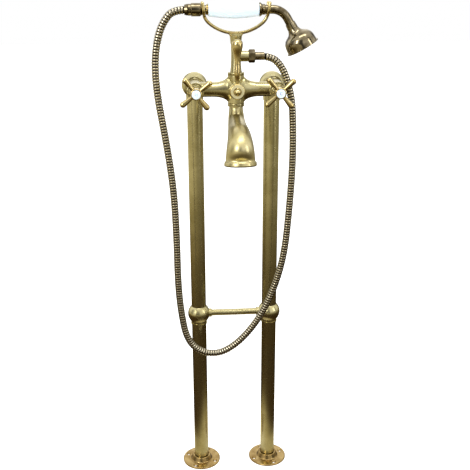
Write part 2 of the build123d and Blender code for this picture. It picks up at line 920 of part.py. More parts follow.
def make_handle_screw(name, right):
    """Screw under the index that holds the handle on its spindle."""
    line = at(right, 0, mixer_height)
    head_rear = index_floor + seat_gap / 2
    shank_rear = spindle_front - screw_shank_length + seat_gap
    with BuildPart() as screw:
        turn_profile(
            line,
            FORWARD,
            [
                (0, shank_rear, 0),
                (screw_shank_radius, shank_rear, 0),
                (screw_shank_radius, head_rear, 0),
                (screw_head_radius, head_rear, 0),
                (screw_head_radius, head_rear + screw_head_thickness, screw_slot_depth),
                (0, head_rear + screw_head_thickness, 0),
            ],
        )
        slot_floor = head_rear + screw_head_thickness - screw_slot_depth
        with BuildSketch(face_plane(at(right, slot_floor, mixer_height), FORWARD, UP)):
            Rectangle(2 * screw_head_radius + cut_overrun, screw_slot_width)
        extrude(amount=screw_slot_depth + cut_overrun, mode=Mode.SUBTRACT)
    keep(screw, f"{name}_handle_screw")


def make_index(name, right):
    """Domed porcelain index in the front of the handle."""
    line = at(right, 0, mixer_height)
    radius = handle_index_recess_radius - seat_gap
    rear = index_floor + seat_gap + screw_head_thickness
    rim_front = rear + index_rim_thickness
    dome_radius = (radius**2 + index_dome_height**2) / (2 * index_dome_height)
    half_radius = radius / 2
    half_rise = sqrt(dome_radius**2 - half_radius**2) - dome_radius + index_dome_height
    with BuildPart() as index:
        with BuildSketch(profile_plane(line, FORWARD)):
            with BuildLine():
                Polyline((0, rim_front + index_dome_height), (0, rear), (radius, rear), (radius, rim_front))
                ThreePointArc(
                    (radius, rim_front),
                    (half_radius, rim_front + half_rise),
                    (0, rim_front + index_dome_height),
                )
            make_face()
        revolve(axis=Axis(line, FORWARD))
    keep(index, f"{name}_index")


def make_diverter():
    """Turning plug, its cover, the club-shaped lever and the dome nut that holds it."""
    line = at(0, 0, mixer_height)
    plug_rear = diverter_chamber_rear + free_gap
    plug_middle = (plug_rear + plug_front) / 2
    with BuildPart() as plug:
        turn_profile(
            line,
            FORWARD,
            [
                (0, plug_rear, 0),
                (diverter_chamber_radius - running_gap, plug_rear, 0),
                (diverter_chamber_radius - running_gap, plug_front, 0),
                (spindle_radius, plug_front, 0),
                (spindle_radius, plug_spindle_front, 0),
                (0, plug_spindle_front, 0),
            ],
        )
        port_end = diverter_chamber_radius + cut_overrun
        bore(at(0, plug_middle, mixer_height), UP, plug_port_radius, 0, port_end)
        bore(at(0, plug_middle, mixer_height), RIGHT, plug_port_radius, -port_end, port_end)
    keep(plug, "diverter_plug")

    with BuildPart() as cover:
        spigot_rear = diverter_boss_front - diverter_cover_spigot_length
        turn_profile(
            line,
            FORWARD,
            [
                (0, spigot_rear, 0),
                (diverter_chamber_radius - seat_gap, spigot_rear, 0),
                (diverter_chamber_radius - seat_gap, diverter_boss_front, 0),
                (diverter_cover_radius, diverter_boss_front, bonnet_rounding),
                (diverter_cover_radius, diverter_boss_front + diverter_cover_thickness, bonnet_rounding),
                (0, diverter_boss_front + diverter_cover_thickness, 0),
            ],
        )
        bore(
            line,
            FORWARD,
            spindle_radius + running_gap,
            spigot_rear - cut_overrun,
            diverter_boss_front + diverter_cover_thickness + cut_overrun,
        )
    keep(cover, "diverter_cover")

    pivot = at(0, (lever_rear + lever_front) / 2, mixer_height)
    with BuildPart() as lever:
        turn_profile(
            line,
            FORWARD,
            [
                (0, lever_rear, 0),
                (lever_disc_radius, lever_rear, 0),
                (lever_disc_radius, lever_front, lever_disc_rounding),
                (0, lever_front, 0),
            ],
        )
        with BuildSketch(profile_plane(pivot, UP)):
            with BuildLine():
                club = Spline(
                    (lever_neck_radius, lever_neck_height),
                    (lever_collar_radius, lever_collar_height),
                    (lever_waist_radius, lever_waist_height),
                    (lever_shoulder_radius, lever_shoulder_height),
                    (lever_bulb_radius, lever_bulb_height),
                    (0, lever_top_height),
                    tangents=((0, 1), (-1, 0)),
                )
                Polyline(club @ 1, (0, 0), (lever_neck_radius, 0), club @ 0)
            make_face()
        revolve(axis=Axis(pivot, UP))
        bore(line, FORWARD, spindle_radius + seat_gap, lever_rear - cut_overrun, lever_front + cut_overrun)
    keep(lever, "diverter_lever")

    with BuildPart() as nut:
        hexagon_bar(
            line,
            FORWARD,
            dome_nut_across_flats,
            lever_front,
            lever_front + dome_nut_flats_length,
            dome_nut_chamfer,
            UP,
        )
        with BuildSketch(profile_plane(line, FORWARD)):
            with BuildLine():
                RadiusArc((dome_radius, dome_start), (0, dome_start + dome_radius), -dome_radius)
                Polyline((0, dome_start + dome_radius), (0, dome_start), (dome_radius, dome_start))
            make_face()
        revolve(axis=Axis(line, FORWARD))
        bore(line, FORWARD, spindle_radius + seat_gap, lever_front - cut_overrun, lever_front + dome_nut_bore_depth)
    keep(nut, "diverter_dome_nut")


def make_ring(label, base_height, bore_radius):
    """Grooved ring that clamps the column or the spout to the hub."""
    base = at(0, mixer_set_forward, base_height)
    middle = ring_height / 2
    with BuildPart() as ring:
        turn_profile(
            base,
            UP,
            [
                (bore_radius, 0, 0),
                (ring_radius, 0, ring_rounding),
                (ring_radius, middle - ring_groove_width / 2, 0),
                (ring_radius - ring_groove_depth, middle, 0),
                (ring_radius, middle + ring_groove_width / 2, 0),
                (ring_radius, ring_height, ring_rounding),
                (bore_radius, ring_height, 0),
            ],
        )
    keep(ring, label)


def make_column():
    """Tapered column with the hose outlet on its right side."""
    base = at(0, mixer_set_forward, column_base)
    spigot_length = hub_socket_depth - seat_gap
    spigot_radius_here = hub_socket_radius - seat_gap
    outlet = at(0, mixer_set_forward, outlet_axis_height)
    with BuildPart() as column:
        with BuildSketch(profile_plane(base, UP)):
            with BuildLine():
                flank = Spline(
                    (column_base_radius, ring_height),
                    (column_waist_radius, column_waist_height),
                    (column_top_radius, column_top_height),
                )
                Polyline(
                    flank @ 1,
                    (0, column_top_height),
                    (0, -spigot_length),
                    (spigot_radius_here, -spigot_length),
                    (spigot_radius_here, 0),
                    (column_base_radius, 0),
                    flank @ 0,
                )
            make_face()
        revolve(axis=Axis(base, UP))
        turn_profile(
            outlet,
            RIGHT,
            [
                (0, 0, 0),
                (outlet_radius, 0, 0),
                (outlet_radius, outlet_reach, outlet_edge_rounding),
                (outlet_spigot_radius, outlet_reach, 0),
                (outlet_spigot_radius, outlet_reach + outlet_spigot_length, 0),
                (0, outlet_reach + outlet_spigot_length, 0),
            ],
        )
        bore(base, UP, column_bore_radius, -spigot_length - cut_overrun, outlet_axis_height - column_base)
        bore(outlet, RIGHT, column_bore_radius, 0, outlet_reach + outlet_spigot_length + cut_overrun)
    keep(column, "shower_column")


def fork_base(side):
    """Lowest point of a fork's rod, on the right for 1 and on the left for -1."""
    return at(side * fork_half_spacing, mixer_set_forward, fork_floor)


def make_cradle():
    """Bowed rod on a saddle, with a fork at each end that the hand shower lies in."""
    fork_radius = handset_tube_radius + fork_prong_clearance + fork_rod_radius
    lean = radians(fork_lean_angle)
    prong_length = (handset_height + fork_prong_rise - fork_floor) / cos(lean)
    join_right = bow_bottom_radius * sin(cradle_turn)
    join_height = bow_bottom_height + bow_bottom_radius * turn_up
    half_turn = cradle_turn / 2
    end_angle = asin(bow_end_rise / bow_end_radius)
    middle_angle = (pi / 2 - cradle_turn + end_angle) / 2
    middle_right = bow_end_centre + bow_end_radius * cos(middle_angle)
    middle_height = bow_end_height - bow_end_radius * sin(middle_angle)
    tangent = UP * cos(end_angle) + RIGHT * sin(end_angle)
    with BuildPart() as cradle:
        with BuildLine() as bow:
            for side in (1, -1):
                ThreePointArc(
                    at(0, mixer_set_forward, bow_bottom_height),
                    at(
                        side * bow_bottom_radius * sin(half_turn),
                        mixer_set_forward,
                        bow_bottom_height + bow_bottom_radius * (1 - cos(half_turn)),
                    ),
                    at(side * join_right, mixer_set_forward, join_height),
                )
                ThreePointArc(
                    at(side * join_right, mixer_set_forward, join_height),
                    at(side * middle_right, mixer_set_forward, middle_height),
                    fork_base(side),
                )
        with BuildSketch(face_plane(fork_base(1), tangent)):
            Circle(cradle_rod_radius)
        sweep(path=bow.wires()[0])
        for side in (1, -1):
            rear = fork_base(side) - FORWARD * fork_radius
            front = fork_base(side) + FORWARD * fork_radius
            up = UP * cos(lean) + RIGHT * side * sin(lean)
            with BuildLine() as fork:
                Line(rear + up * prong_length, rear + up * fork_radius)
                ThreePointArc(rear + up * fork_radius, fork_base(side), front + up * fork_radius)
                Line(front + up * fork_radius, front + up * prong_length)
            with BuildSketch(face_plane(rear + up * prong_length, -up)):
                Circle(fork_rod_radius)
            sweep(path=fork.wires()[0])
            with Locations(rear + up * prong_length, front + up * prong_length):
                Sphere(fork_rod_radius)
        saddle_base = at(0, mixer_set_forward, column_base + column_top_height)
        with BuildSketch(face_plane(saddle_base, UP)):
            Circle(column_top_radius)
        with BuildSketch(face_plane(saddle_base + UP * saddle_height, UP)):
            Ellipse(saddle_half_length, cradle_rod_radius)
        loft()
    keep(cradle, "cradle")


def spout_stations():
    """Points and directions down the spout, as (forward, height, angle from straight down)."""
    slope = radians(spout_slope_angle)
    mouth = radians(spout_mouth_angle)
    forward = mixer_set_forward
    height = spout_top - ring_height
    stations = [(forward, height, 0.0)]
    height -= spout_first_drop
    stations.append((forward, height, 0.0))
    for share in (1 / 2, 1):
        angle = slope * share
        bend_forward = forward + spout_first_bend * (1 - cos(angle))
        bend_height = height - spout_first_bend * sin(angle)
        stations.append((bend_forward, bend_height, angle))
    forward, height, _ = stations[-1]
    for share in (1 / 2, 1):
        run_forward = forward + spout_straight * share * sin(slope)
        run_height = height - spout_straight * share * cos(slope)
        stations.append((run_forward, run_height, slope))
    forward, height, _ = stations[-1]
    for share in (1 / 2, 1):
        angle = slope + (mouth - slope) * share
        bend_forward = forward + spout_second_bend * (cos(angle) - cos(slope))
        bend_height = height - spout_second_bend * (sin(slope) - sin(angle))
        stations.append((bend_forward, bend_height, angle))
    forward, height, _ = stations[-1]
    end_forward = forward + spout_last_drop * sin(mouth)
    end_height = height - spout_last_drop * cos(mouth)
    stations.append((end_forward, end_height, mouth))
    return stations


def make_spout():
    """Bell-mouthed spout that runs down, forward and down again."""
    stations = spout_stations()
    mouth_radius = spout_radii[-1]
    neck_radius = spout_radii[0]
    with BuildPart() as spout:
        for wall, mode in ((0, Mode.ADD), (spout_wall, Mode.SUBTRACT)):
            for (forward, height, angle), radius in zip(stations, spout_radii):
                along = FORWARD * sin(angle) + DOWN * cos(angle)
                with BuildSketch(face_plane(at(0, forward, height), along, RIGHT)):
                    Circle(radius - wall)
            loft(mode=mode)
        mouth_forward, mouth_height, angle = stations[-1]
        mouth = at(0, mouth_forward, mouth_height)
        along = FORWARD * sin(angle) + DOWN * cos(angle)
        inner = mouth_radius - spout_wall
        turn_profile(
            mouth,
            along,
            [
                (inner, 0, 0),
                (mouth_radius, 0, 0),
                (spout_lip_radius, spout_lip_height / 4, spout_lip_rounding / 2),
                (spout_lip_radius, spout_lip_height, spout_lip_rounding),
                (inner, spout_lip_height, spout_wall / 4),
            ],
        )
        neck = at(0, mixer_set_forward, spout_top - ring_height)
        turn_profile(
            neck,
            UP,
            [
                (spout_bore_radius, 0, 0),
                (neck_radius, 0, 0),
                (neck_radius, ring_height, 0),
                (spout_spigot_radius, ring_height, 0),
                (spout_spigot_radius, ring_height + spout_spigot_length, 0),
                (spout_bore_radius, ring_height + spout_spigot_length, 0),
            ],
        )

    # The casting is divided square to its straight run, where the run meets the second bend
    run_forward, run_height, run_angle = stations[5]
    run_along = FORWARD * sin(run_angle) + DOWN * cos(run_angle)
    seam = face_plane(at(0, run_forward, run_height), run_along)
    with BuildPart() as arm:
        add(spout.part)
        split(bisect_by=seam, keep=Keep.BOTTOM)
    keep(arm, "spout_arm")
    with BuildPart() as mouth_piece:
        add(spout.part)
        split(bisect_by=seam, keep=Keep.TOP)
    keep(mouth_piece, "spout")


def handset_line(distance):
    """A point on the hand shower's straight axis."""
    return at(distance, mixer_set_forward, handset_height)


def make_grip():
    """Porcelain grip, thickest in the middle, with a bore for the core tube."""
    left = handset_line(grip_left)
    swell = grip_middle_radius - grip_end_radius
    arc_radius = (grip_half_length**2 + swell**2) / (2 * swell)
    quarter = grip_half_length / 2
    quarter_radius = grip_middle_radius - arc_radius + sqrt(arc_radius**2 - quarter**2)
    with BuildPart() as grip:
        with BuildSketch(profile_plane(left, RIGHT)):
            with BuildLine():
                ThreePointArc(
                    (grip_end_radius, 0),
                    (quarter_radius, quarter),
                    (grip_middle_radius, grip_half_length),
                )
                ThreePointArc(
                    (grip_middle_radius, grip_half_length),
                    (quarter_radius, grip_half_length + quarter),
                    (grip_end_radius, 2 * grip_half_length),
                )
                Polyline(
                    (grip_end_radius, 2 * grip_half_length),
                    (grip_bore_radius, 2 * grip_half_length),
                    (grip_bore_radius, 0),
                    (grip_end_radius, 0),
                )
            make_face()
        revolve(axis=Axis(left, RIGHT))
        ends = grip.edges().filter_by(GeomType.CIRCLE).filter_by(lambda edge: edge.radius > core_radius + core_wall)
        end_rims = [edge for edge in ends if abs(edge.radius - grip_end_radius) < seat_gap]
        fillet(end_rims, grip_end_rounding)
    keep(grip, "porcelain_grip")


def make_handset_metal():
    """Core tube, inlet, collars and the bent tube of the hand shower."""
    core_left = rear_collar_left - inlet_cone_length
    core_right = front_collar_right - front_collar_length / 2
    origin = handset_line(0)
    with BuildPart() as core:
        with BuildSketch(face_plane(handset_line(core_left), RIGHT)):
            Circle(core_radius)
            Circle(core_radius - core_wall, mode=Mode.SUBTRACT)
        extrude(amount=core_right - core_left)
    keep(core, "handset_core_tube")

    with BuildPart() as rear_collar:
        turn_profile(
            origin,
            RIGHT,
            [
                (core_radius + seat_gap, rear_collar_left, 0),
                (rear_collar_radius, rear_collar_left, rear_collar_rounding),
                (rear_collar_waist_radius, rear_collar_left + rear_collar_length / 2, rear_collar_rounding),
                (rear_collar_radius, grip_left, 0),
                (core_radius + seat_gap, grip_left, 0),
            ],
        )
    keep(rear_collar, "handset_rear_collar")

    with BuildPart() as inlet:
        cone_left = inlet_right - 2 * inlet_cone_length
        turn_profile(
            origin,
            RIGHT,
            [
                (inlet_bore_radius_handset, inlet_left - inlet_spigot_length, 0),
                (inlet_spigot_radius, inlet_left - inlet_spigot_length, 0),
                (inlet_spigot_radius, inlet_left, 0),
                (inlet_radius, inlet_left, inlet_edge_rounding),
                (inlet_radius, cone_left, inlet_edge_rounding),
                (inlet_neck_radius, cone_left + inlet_cone_length, 0),
                (inlet_neck_radius, inlet_right, 0),
                (core_radius + seat_gap, inlet_right, 0),
                (core_radius + seat_gap, core_left - seat_gap, 0),
                (inlet_bore_radius_handset, core_left - seat_gap, 0),
            ],
        )
    keep(inlet, "handset_inlet")

    with BuildPart() as front_collar:
        step = front_collar_length / 5
        turn_profile(
            origin,
            RIGHT,
            [
                (core_radius + seat_gap, grip_right, 0),
                (front_collar_radius, grip_right, 0),
                (front_collar_radius, grip_right + step, grip_end_rounding),
                (front_collar_waist_radius, grip_right + 3 * step, grip_end_rounding),
                (front_collar_end_radius + step / 3, grip_right + 4 * step, grip_end_rounding / 2),
                (front_collar_end_radius, front_collar_right, 0),
                (handset_tube_radius + seat_gap, front_collar_right, 0),
                (handset_tube_radius + seat_gap, core_right, 0),
                (core_radius + seat_gap, core_right, 0),
            ],
        )
    keep(front_collar, "handset_front_collar")

    bend = radians(handset_bend_angle)
    tube_left = core_right + seat_gap
    centre_height = handset_height - handset_bend_radius
    bend_end = at(
        handset_straight + handset_bend_radius * sin(bend),
        mixer_set_forward,
        centre_height + handset_bend_radius * cos(bend),
    )
    bend_middle = at(
        handset_straight + handset_bend_radius * sin(bend / 2),
        mixer_set_forward,
        centre_height + handset_bend_radius * cos(bend / 2),
    )
    bell_axis = RIGHT * cos(bend) + DOWN * sin(bend)
    with BuildPart() as tube:
        with BuildLine() as path:
            Line(handset_line(tube_left), handset_line(handset_straight))
            ThreePointArc(handset_line(handset_straight), bend_middle, bend_end)
            Line(bend_end, bend_end + bell_axis * handset_end_length)
        with BuildSketch(face_plane(handset_line(tube_left), RIGHT)):
            Circle(handset_tube_radius)
            Circle(handset_tube_radius - handset_tube_wall, mode=Mode.SUBTRACT)
        sweep(path=path.wires()[0])
    keep(tube, "handset_tube")
    return bend_end + bell_axis * handset_end_length, bell_axis


def moved_inwards(outline, wall):
    """An outline of (radius, distance) moved square to itself by a wall's thickness."""
    moved = []
    for number, (radius, along) in enumerate(outline):
        before = outline[max(number - 1, 0)]
        after = outline[min(number + 1, len(outline) - 1)]
        run = Vector(after[0] - before[0], after[1] - before[1]).normalized()
        moved.append((radius - wall * run.Y, along + wall * run.X))
    return moved


def make_shower_head(tube_end, axis):
    """Bell, and the perforated spray plate in its mouth."""
    origin = tube_end - axis * bell_socket_depth
    lip_start = bell_outline[-1]
    recess_floor = bell_length - spray_recess_depth
    inner = [point for point in moved_inwards(bell_outline, bell_wall) if point[1] < recess_floor]
    throat_radius = inner[0][0]
    with BuildPart() as bell:
        with BuildSketch(profile_plane(origin, axis)):
            with BuildLine():
                outside = Spline(*bell_outline)
                Polyline(
                    outside @ 1,
                    (bell_lip_radius, lip_start[1]),
                    (bell_lip_radius, bell_length),
                    (spray_recess_radius, bell_length),
                    (spray_recess_radius, recess_floor),
                    (inner[-1][0], recess_floor),
                    inner[-1],
                )
                Spline(*reversed(inner))
                Polyline(
                    inner[0],
                    (throat_radius, bell_socket_depth + seat_gap),
                    (handset_tube_radius + seat_gap, bell_socket_depth + seat_gap),
                    (handset_tube_radius + seat_gap, 0),
                    (bell_collar_radius, 0),
                    (bell_collar_end_radius, bell_collar_length),
                    outside @ 0,
                )
            make_face()
        revolve(axis=Axis(origin, axis))
        lip = bell.edges().filter_by(GeomType.CIRCLE).filter_by(lambda edge: edge.radius > bell_lip_radius - seat_gap)
        fillet(lip, bell_lip_rounding)
    keep(bell, "shower_bell")

    plate_radius = spray_recess_radius - seat_gap
    with BuildPart() as plate:
        with BuildSketch(face_plane(origin + axis * recess_floor, axis, Vector(0, 1, 0))):
            Circle(plate_radius)
            for count, share in zip(spray_ring_counts, spray_ring_shares):
                with PolarLocations(plate_radius * share, count):
                    Circle(spray_hole_radius, mode=Mode.SUBTRACT)
        extrude(amount=spray_plate_thickness)
    keep(plate, "spray_plate")


def make_hose_fittings():
    """Nut, ferrule and washers where the hose leaves the column and reaches the hand shower."""
    outlet = at(0, mixer_set_forward, outlet_axis_height)
    spigot_right = outlet_reach + outlet_spigot_length
    flange_left = spigot_right + hose_washer_thickness
    flange_right = flange_left + ferrule_flange_thickness
    nut_start = outlet_reach + seat_gap
    nut_end = nut_start + hose_nut_length
    ferrule_right = flange_left + ferrule_length
    hose_stop = flange_left + ferrule_stop_length
    hose_fit = hose_valley_radius + seat_gap
    with BuildPart() as nut:
        hexagon_bar(outlet, RIGHT, hose_nut_across_flats, nut_start, nut_end, hose_nut_chamfer, UP)
        bore(outlet, RIGHT, outlet_spigot_radius + seat_gap, nut_start - cut_overrun, flange_right + seat_gap)
        bore(outlet, RIGHT, ferrule_radius + seat_gap, flange_right, nut_end + cut_overrun)
    keep(nut, "hose_lower_nut")

    with BuildPart() as ferrule:
        turn_profile(
            outlet,
            RIGHT,
            [
                (hose_washer_bore_radius, flange_left, 0),
                (ferrule_flange_radius, flange_left, 0),
                (ferrule_flange_radius, flange_right, 0),
                (ferrule_radius, flange_right, 0),
                (ferrule_radius, ferrule_right, ferrule_mouth_rounding),
                (hose_fit, ferrule_right, 0),
                (hose_fit, hose_stop, 0),
                (hose_washer_bore_radius, hose_stop, 0),
            ],
        )
    keep(ferrule, "hose_lower_ferrule")

    origin = handset_line(0)
    spigot_left = inlet_left - inlet_spigot_length
    stop_left = spigot_left - hose_washer_thickness
    flange_end = stop_left - ferrule_flange_thickness
    with BuildPart() as lower_washer:
        with BuildSketch(face_plane(outlet + RIGHT * spigot_right, RIGHT)):
            Circle(ferrule_flange_radius)
            Circle(hose_washer_bore_radius, mode=Mode.SUBTRACT)
        extrude(amount=hose_washer_thickness)
    keep(lower_washer, "hose_lower_washer")
    with BuildPart() as upper_washer:
        with BuildSketch(face_plane(handset_line(stop_left), RIGHT)):
            Circle(upper_ferrule_flange_radius)
            Circle(hose_washer_bore_radius, mode=Mode.SUBTRACT)
        extrude(amount=hose_washer_thickness)
    keep(upper_washer, "hose_upper_washer")

    with BuildPart() as upper_ferrule:
        turn_profile(
            origin,
            RIGHT,
            [
                (hose_valley_radius + free_gap, nut_left, 0),
                (upper_ferrule_radius, nut_left, ferrule_mouth_rounding),
                (upper_ferrule_radius, flange_end, 0),
                (upper_ferrule_flange_radius, flange_end, 0),
                (upper_ferrule_flange_radius, stop_left, 0),
                (hose_valley_radius + free_gap, stop_left, 0),
            ],
        )
    keep(upper_ferrule, "hose_upper_ferrule")

    groove_middle = (nut_left + nut_right) / 2
    with BuildPart() as upper_nut:
        turn_profile(
            origin,
            RIGHT,
            [
                (upper_ferrule_radius + seat_gap, nut_left, 0),
                (cone_nut_tip_radius, nut_left, ferrule_mouth_rounding),
                (cone_nut_radius, groove_middle - cone_nut_groove_width / 2, 0),
                (cone_nut_groove_radius, groove_middle, 0),
                (cone_nut_radius, groove_middle + cone_nut_groove_width / 2, 0),
                (cone_nut_radius, nut_right, ferrule_mouth_rounding),
                (inlet_spigot_radius + seat_gap, nut_right, 0),
                (inlet_spigot_radius + seat_gap, flange_end - seat_gap, 0),
                (upper_ferrule_radius + seat_gap, flange_end - seat_gap, 0),
            ],
        )
    keep(upper_nut, "hose_upper_nut")


def hose_corner_radii():
    """Fillet radius at each inner point of the hose's route."""
    radii = []
    points = [Vector(right, height) for right, height in hose_route]
    for before, here, after in zip(points, points[1:], points[2:]):
        run_in = here - before
        run_out = after - here
        turn = radians(run_in.get_angle(run_out))
        radii.append(hose_arc_share * min(run_in.length, run_out.length) / tan(turn / 2))
    return radii


def hose_rings(length):
    """Distance along the hose and radius of each ring of its corrugated skin."""
    pitch = (length - hose_smooth_length - hose_smooth_top_length) / hose_rib_count
    ring_radii = [hose_valley_radius, hose_valley_radius, hose_radius, hose_radius]
    rings = [(0, hose_valley_radius)]
    for rib in range(hose_rib_count):
        start = hose_smooth_length + pitch * rib
        for share, radius in zip(hose_ring_shares, ring_radii):
            rings.append((start + pitch * share, radius))
    rings.append((length - hose_smooth_top_length, hose_valley_radius))
    rings.append((length, hose_valley_radius))
    return rings


def hose_section_plane(path, distance):
    """A plane square to the hose at a distance along it, with a steady X axis."""
    point = path.position_at(distance, position_mode=PositionMode.LENGTH)
    along = path.tangent_at(distance, position_mode=PositionMode.LENGTH)
    return Plane(origin=point, x_dir=Vector(0, 1, 0), z_dir=along)


def make_hose():
    """Corrugated hose along its route, smooth at both ends, with its bore."""
    corner_radii = hose_corner_radii()
    points = [at(right, mixer_set_forward, height) for right, height in hose_route]
    with BuildLine() as route:
        FilletPolyline(*points, radius=corner_radii)
    path = route.wires()[0]
    length = path.length
    rings = hose_rings(length)
    with BuildPart() as hose:
        for distance, radius in rings:
            with BuildSketch(hose_section_plane(path, distance)):
                Circle(radius)
        loft(ruled=True)
        skin_volume = hose.part.volume
        for distance, _ in rings[::4] + rings[-1:]:
            with BuildSketch(hose_section_plane(path, distance)):
                Circle(hose_bore_radius)
        loft(ruled=True, mode=Mode.SUBTRACT)
    keep(hose, "shower_hose")
    expected = 0
    for before, after in zip(rings, rings[1:]):
        step = after[0] - before[0]
        expected += pi / 3 * step * (before[1] ** 2 + before[1] * after[1] + after[1] ** 2)
    bore_volume = skin_volume - hose.part.volume
    print("hose corner radii", [round(radius, 1) for radius in corner_radii])
    print("hose length", round(length, 1), "first point", path @ 0)
    print("hose skin volume against section times length", round(skin_volume / expected, 4))
    print("hose bore volume against section times length", round(bore_volume / (pi * hose_bore_radius**2 * length), 4))


if __name__ == "__main__":
    os.makedirs("parts", exist_ok=True)
    for side_name, right, hole_angle in (
        ("left", -half_spacing, left_hole_angle),
        ("right", half_spacing, right_hole_angle),
    ):
        make_floor_flange(side_name, right, hole_angle)
        make_legs(side_name, right)
        make_ball_tee(side_name, right)
        make_elbow(side_name, right)
        make_union_nut(side_name, right)
    make_crossbar()
    make_union_washers()
    make_mixer_body()
    make_fixed_discs()
    for name, right, arm_angle in (
        ("hot", -half_spacing, hot_handle_angle),
        ("cold", half_spacing, cold_handle_angle),
    ):
        make_headwork(name, right)
        make_spindle_and_disc(name, right)
        make_bonnet(name, right)
        make_handle(name, right, arm_angle)
        make_handle_screw(name, right)
        make_index(name, right)
    make_diverter()
    make_ring("column_ring", column_base, column_base_radius + seat_gap)
    make_ring("spout_ring", spout_top - ring_height, spout_radii[0] + seat_gap)
    make_column()
    make_cradle()
    make_spout()
    make_grip()
    tube_end, bell_axis = make_handset_metal()
    make_shower_head(tube_end, bell_axis)
    make_hose_fittings()
    make_hose()
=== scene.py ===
"""Looks of a floor-standing bath shower mixer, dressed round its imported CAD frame.

Metres, in the frame's own axes: origin on the floor midway between the legs, +Z up, +X to
the right of someone who faces the mixer, handles and spout towards -Y.
"""

import json
import logging
import math
from dataclasses import dataclass, field
from enum import Enum
from typing import Any, Iterable, Optional, Sequence

import bmesh
import bpy
from mathutils import Matrix, Vector

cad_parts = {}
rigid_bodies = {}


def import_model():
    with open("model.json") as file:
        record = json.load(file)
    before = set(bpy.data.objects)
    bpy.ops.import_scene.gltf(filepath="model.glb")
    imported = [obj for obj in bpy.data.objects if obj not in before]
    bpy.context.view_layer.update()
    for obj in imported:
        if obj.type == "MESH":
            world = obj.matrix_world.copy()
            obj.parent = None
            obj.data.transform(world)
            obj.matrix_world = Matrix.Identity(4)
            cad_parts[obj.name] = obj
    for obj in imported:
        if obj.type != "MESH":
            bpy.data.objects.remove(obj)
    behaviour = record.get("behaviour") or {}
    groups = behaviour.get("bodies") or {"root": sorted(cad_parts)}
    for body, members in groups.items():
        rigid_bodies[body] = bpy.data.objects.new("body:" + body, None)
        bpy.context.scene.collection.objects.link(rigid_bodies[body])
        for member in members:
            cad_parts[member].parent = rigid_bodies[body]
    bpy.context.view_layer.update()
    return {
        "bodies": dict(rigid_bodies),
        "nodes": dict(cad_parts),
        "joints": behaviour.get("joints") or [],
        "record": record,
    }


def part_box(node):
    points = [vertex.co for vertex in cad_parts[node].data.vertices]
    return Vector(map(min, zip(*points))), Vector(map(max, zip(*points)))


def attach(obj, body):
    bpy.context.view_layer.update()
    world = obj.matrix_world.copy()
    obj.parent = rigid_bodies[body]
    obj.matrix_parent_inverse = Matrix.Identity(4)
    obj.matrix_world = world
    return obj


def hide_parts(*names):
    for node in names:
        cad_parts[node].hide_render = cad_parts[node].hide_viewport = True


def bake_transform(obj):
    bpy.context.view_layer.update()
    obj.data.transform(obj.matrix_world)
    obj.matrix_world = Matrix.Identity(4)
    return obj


LOG = logging.getLogger("bath_mixer")
MM = 0.001

# Height of the valves' and the diverter's axis, and how far in front of the legs the hose hangs
VALVE_HEIGHT_MM = 846.0
HOSE_FORWARD_MM = 70.0

# Meshes: points this close are one, facets round a turned piece, segments in a rounded corner
SAME_POINT = 1e-7
TURNED_FACETS = 96
CORNER_STEPS = 5
# CAD nodes: vertices this close are welded, and edges that turn more than this stay crisp
WELD_DISTANCE = 1e-6
CREASE_ANGLE = math.radians(34)
# Name of the mesh layer that says how far up a crest of the hose a point lies, which the hose's material
# turns into painted shade low down
CREST_LAYER = "crest"

Colour = tuple[float, float, float, float]
Limits = tuple[float, float]


# Shader tools


def linear_colour(code: str) -> Colour:
    """Turn an sRGB hex colour into the linear colour that a shader takes.

    Args:
        code: colour as "#RRGGBB".

    Returns:
        Linear red, green, blue and full opacity.
    """
    parts = [int(code[i : i + 2], 16) / 255 for i in (1, 3, 5)]
    linear = [c / 12.92 if c <= 0.04045 else ((c + 0.055) / 1.055) ** 2.4 for c in parts]
    return (linear[0], linear[1], linear[2], 1.0)


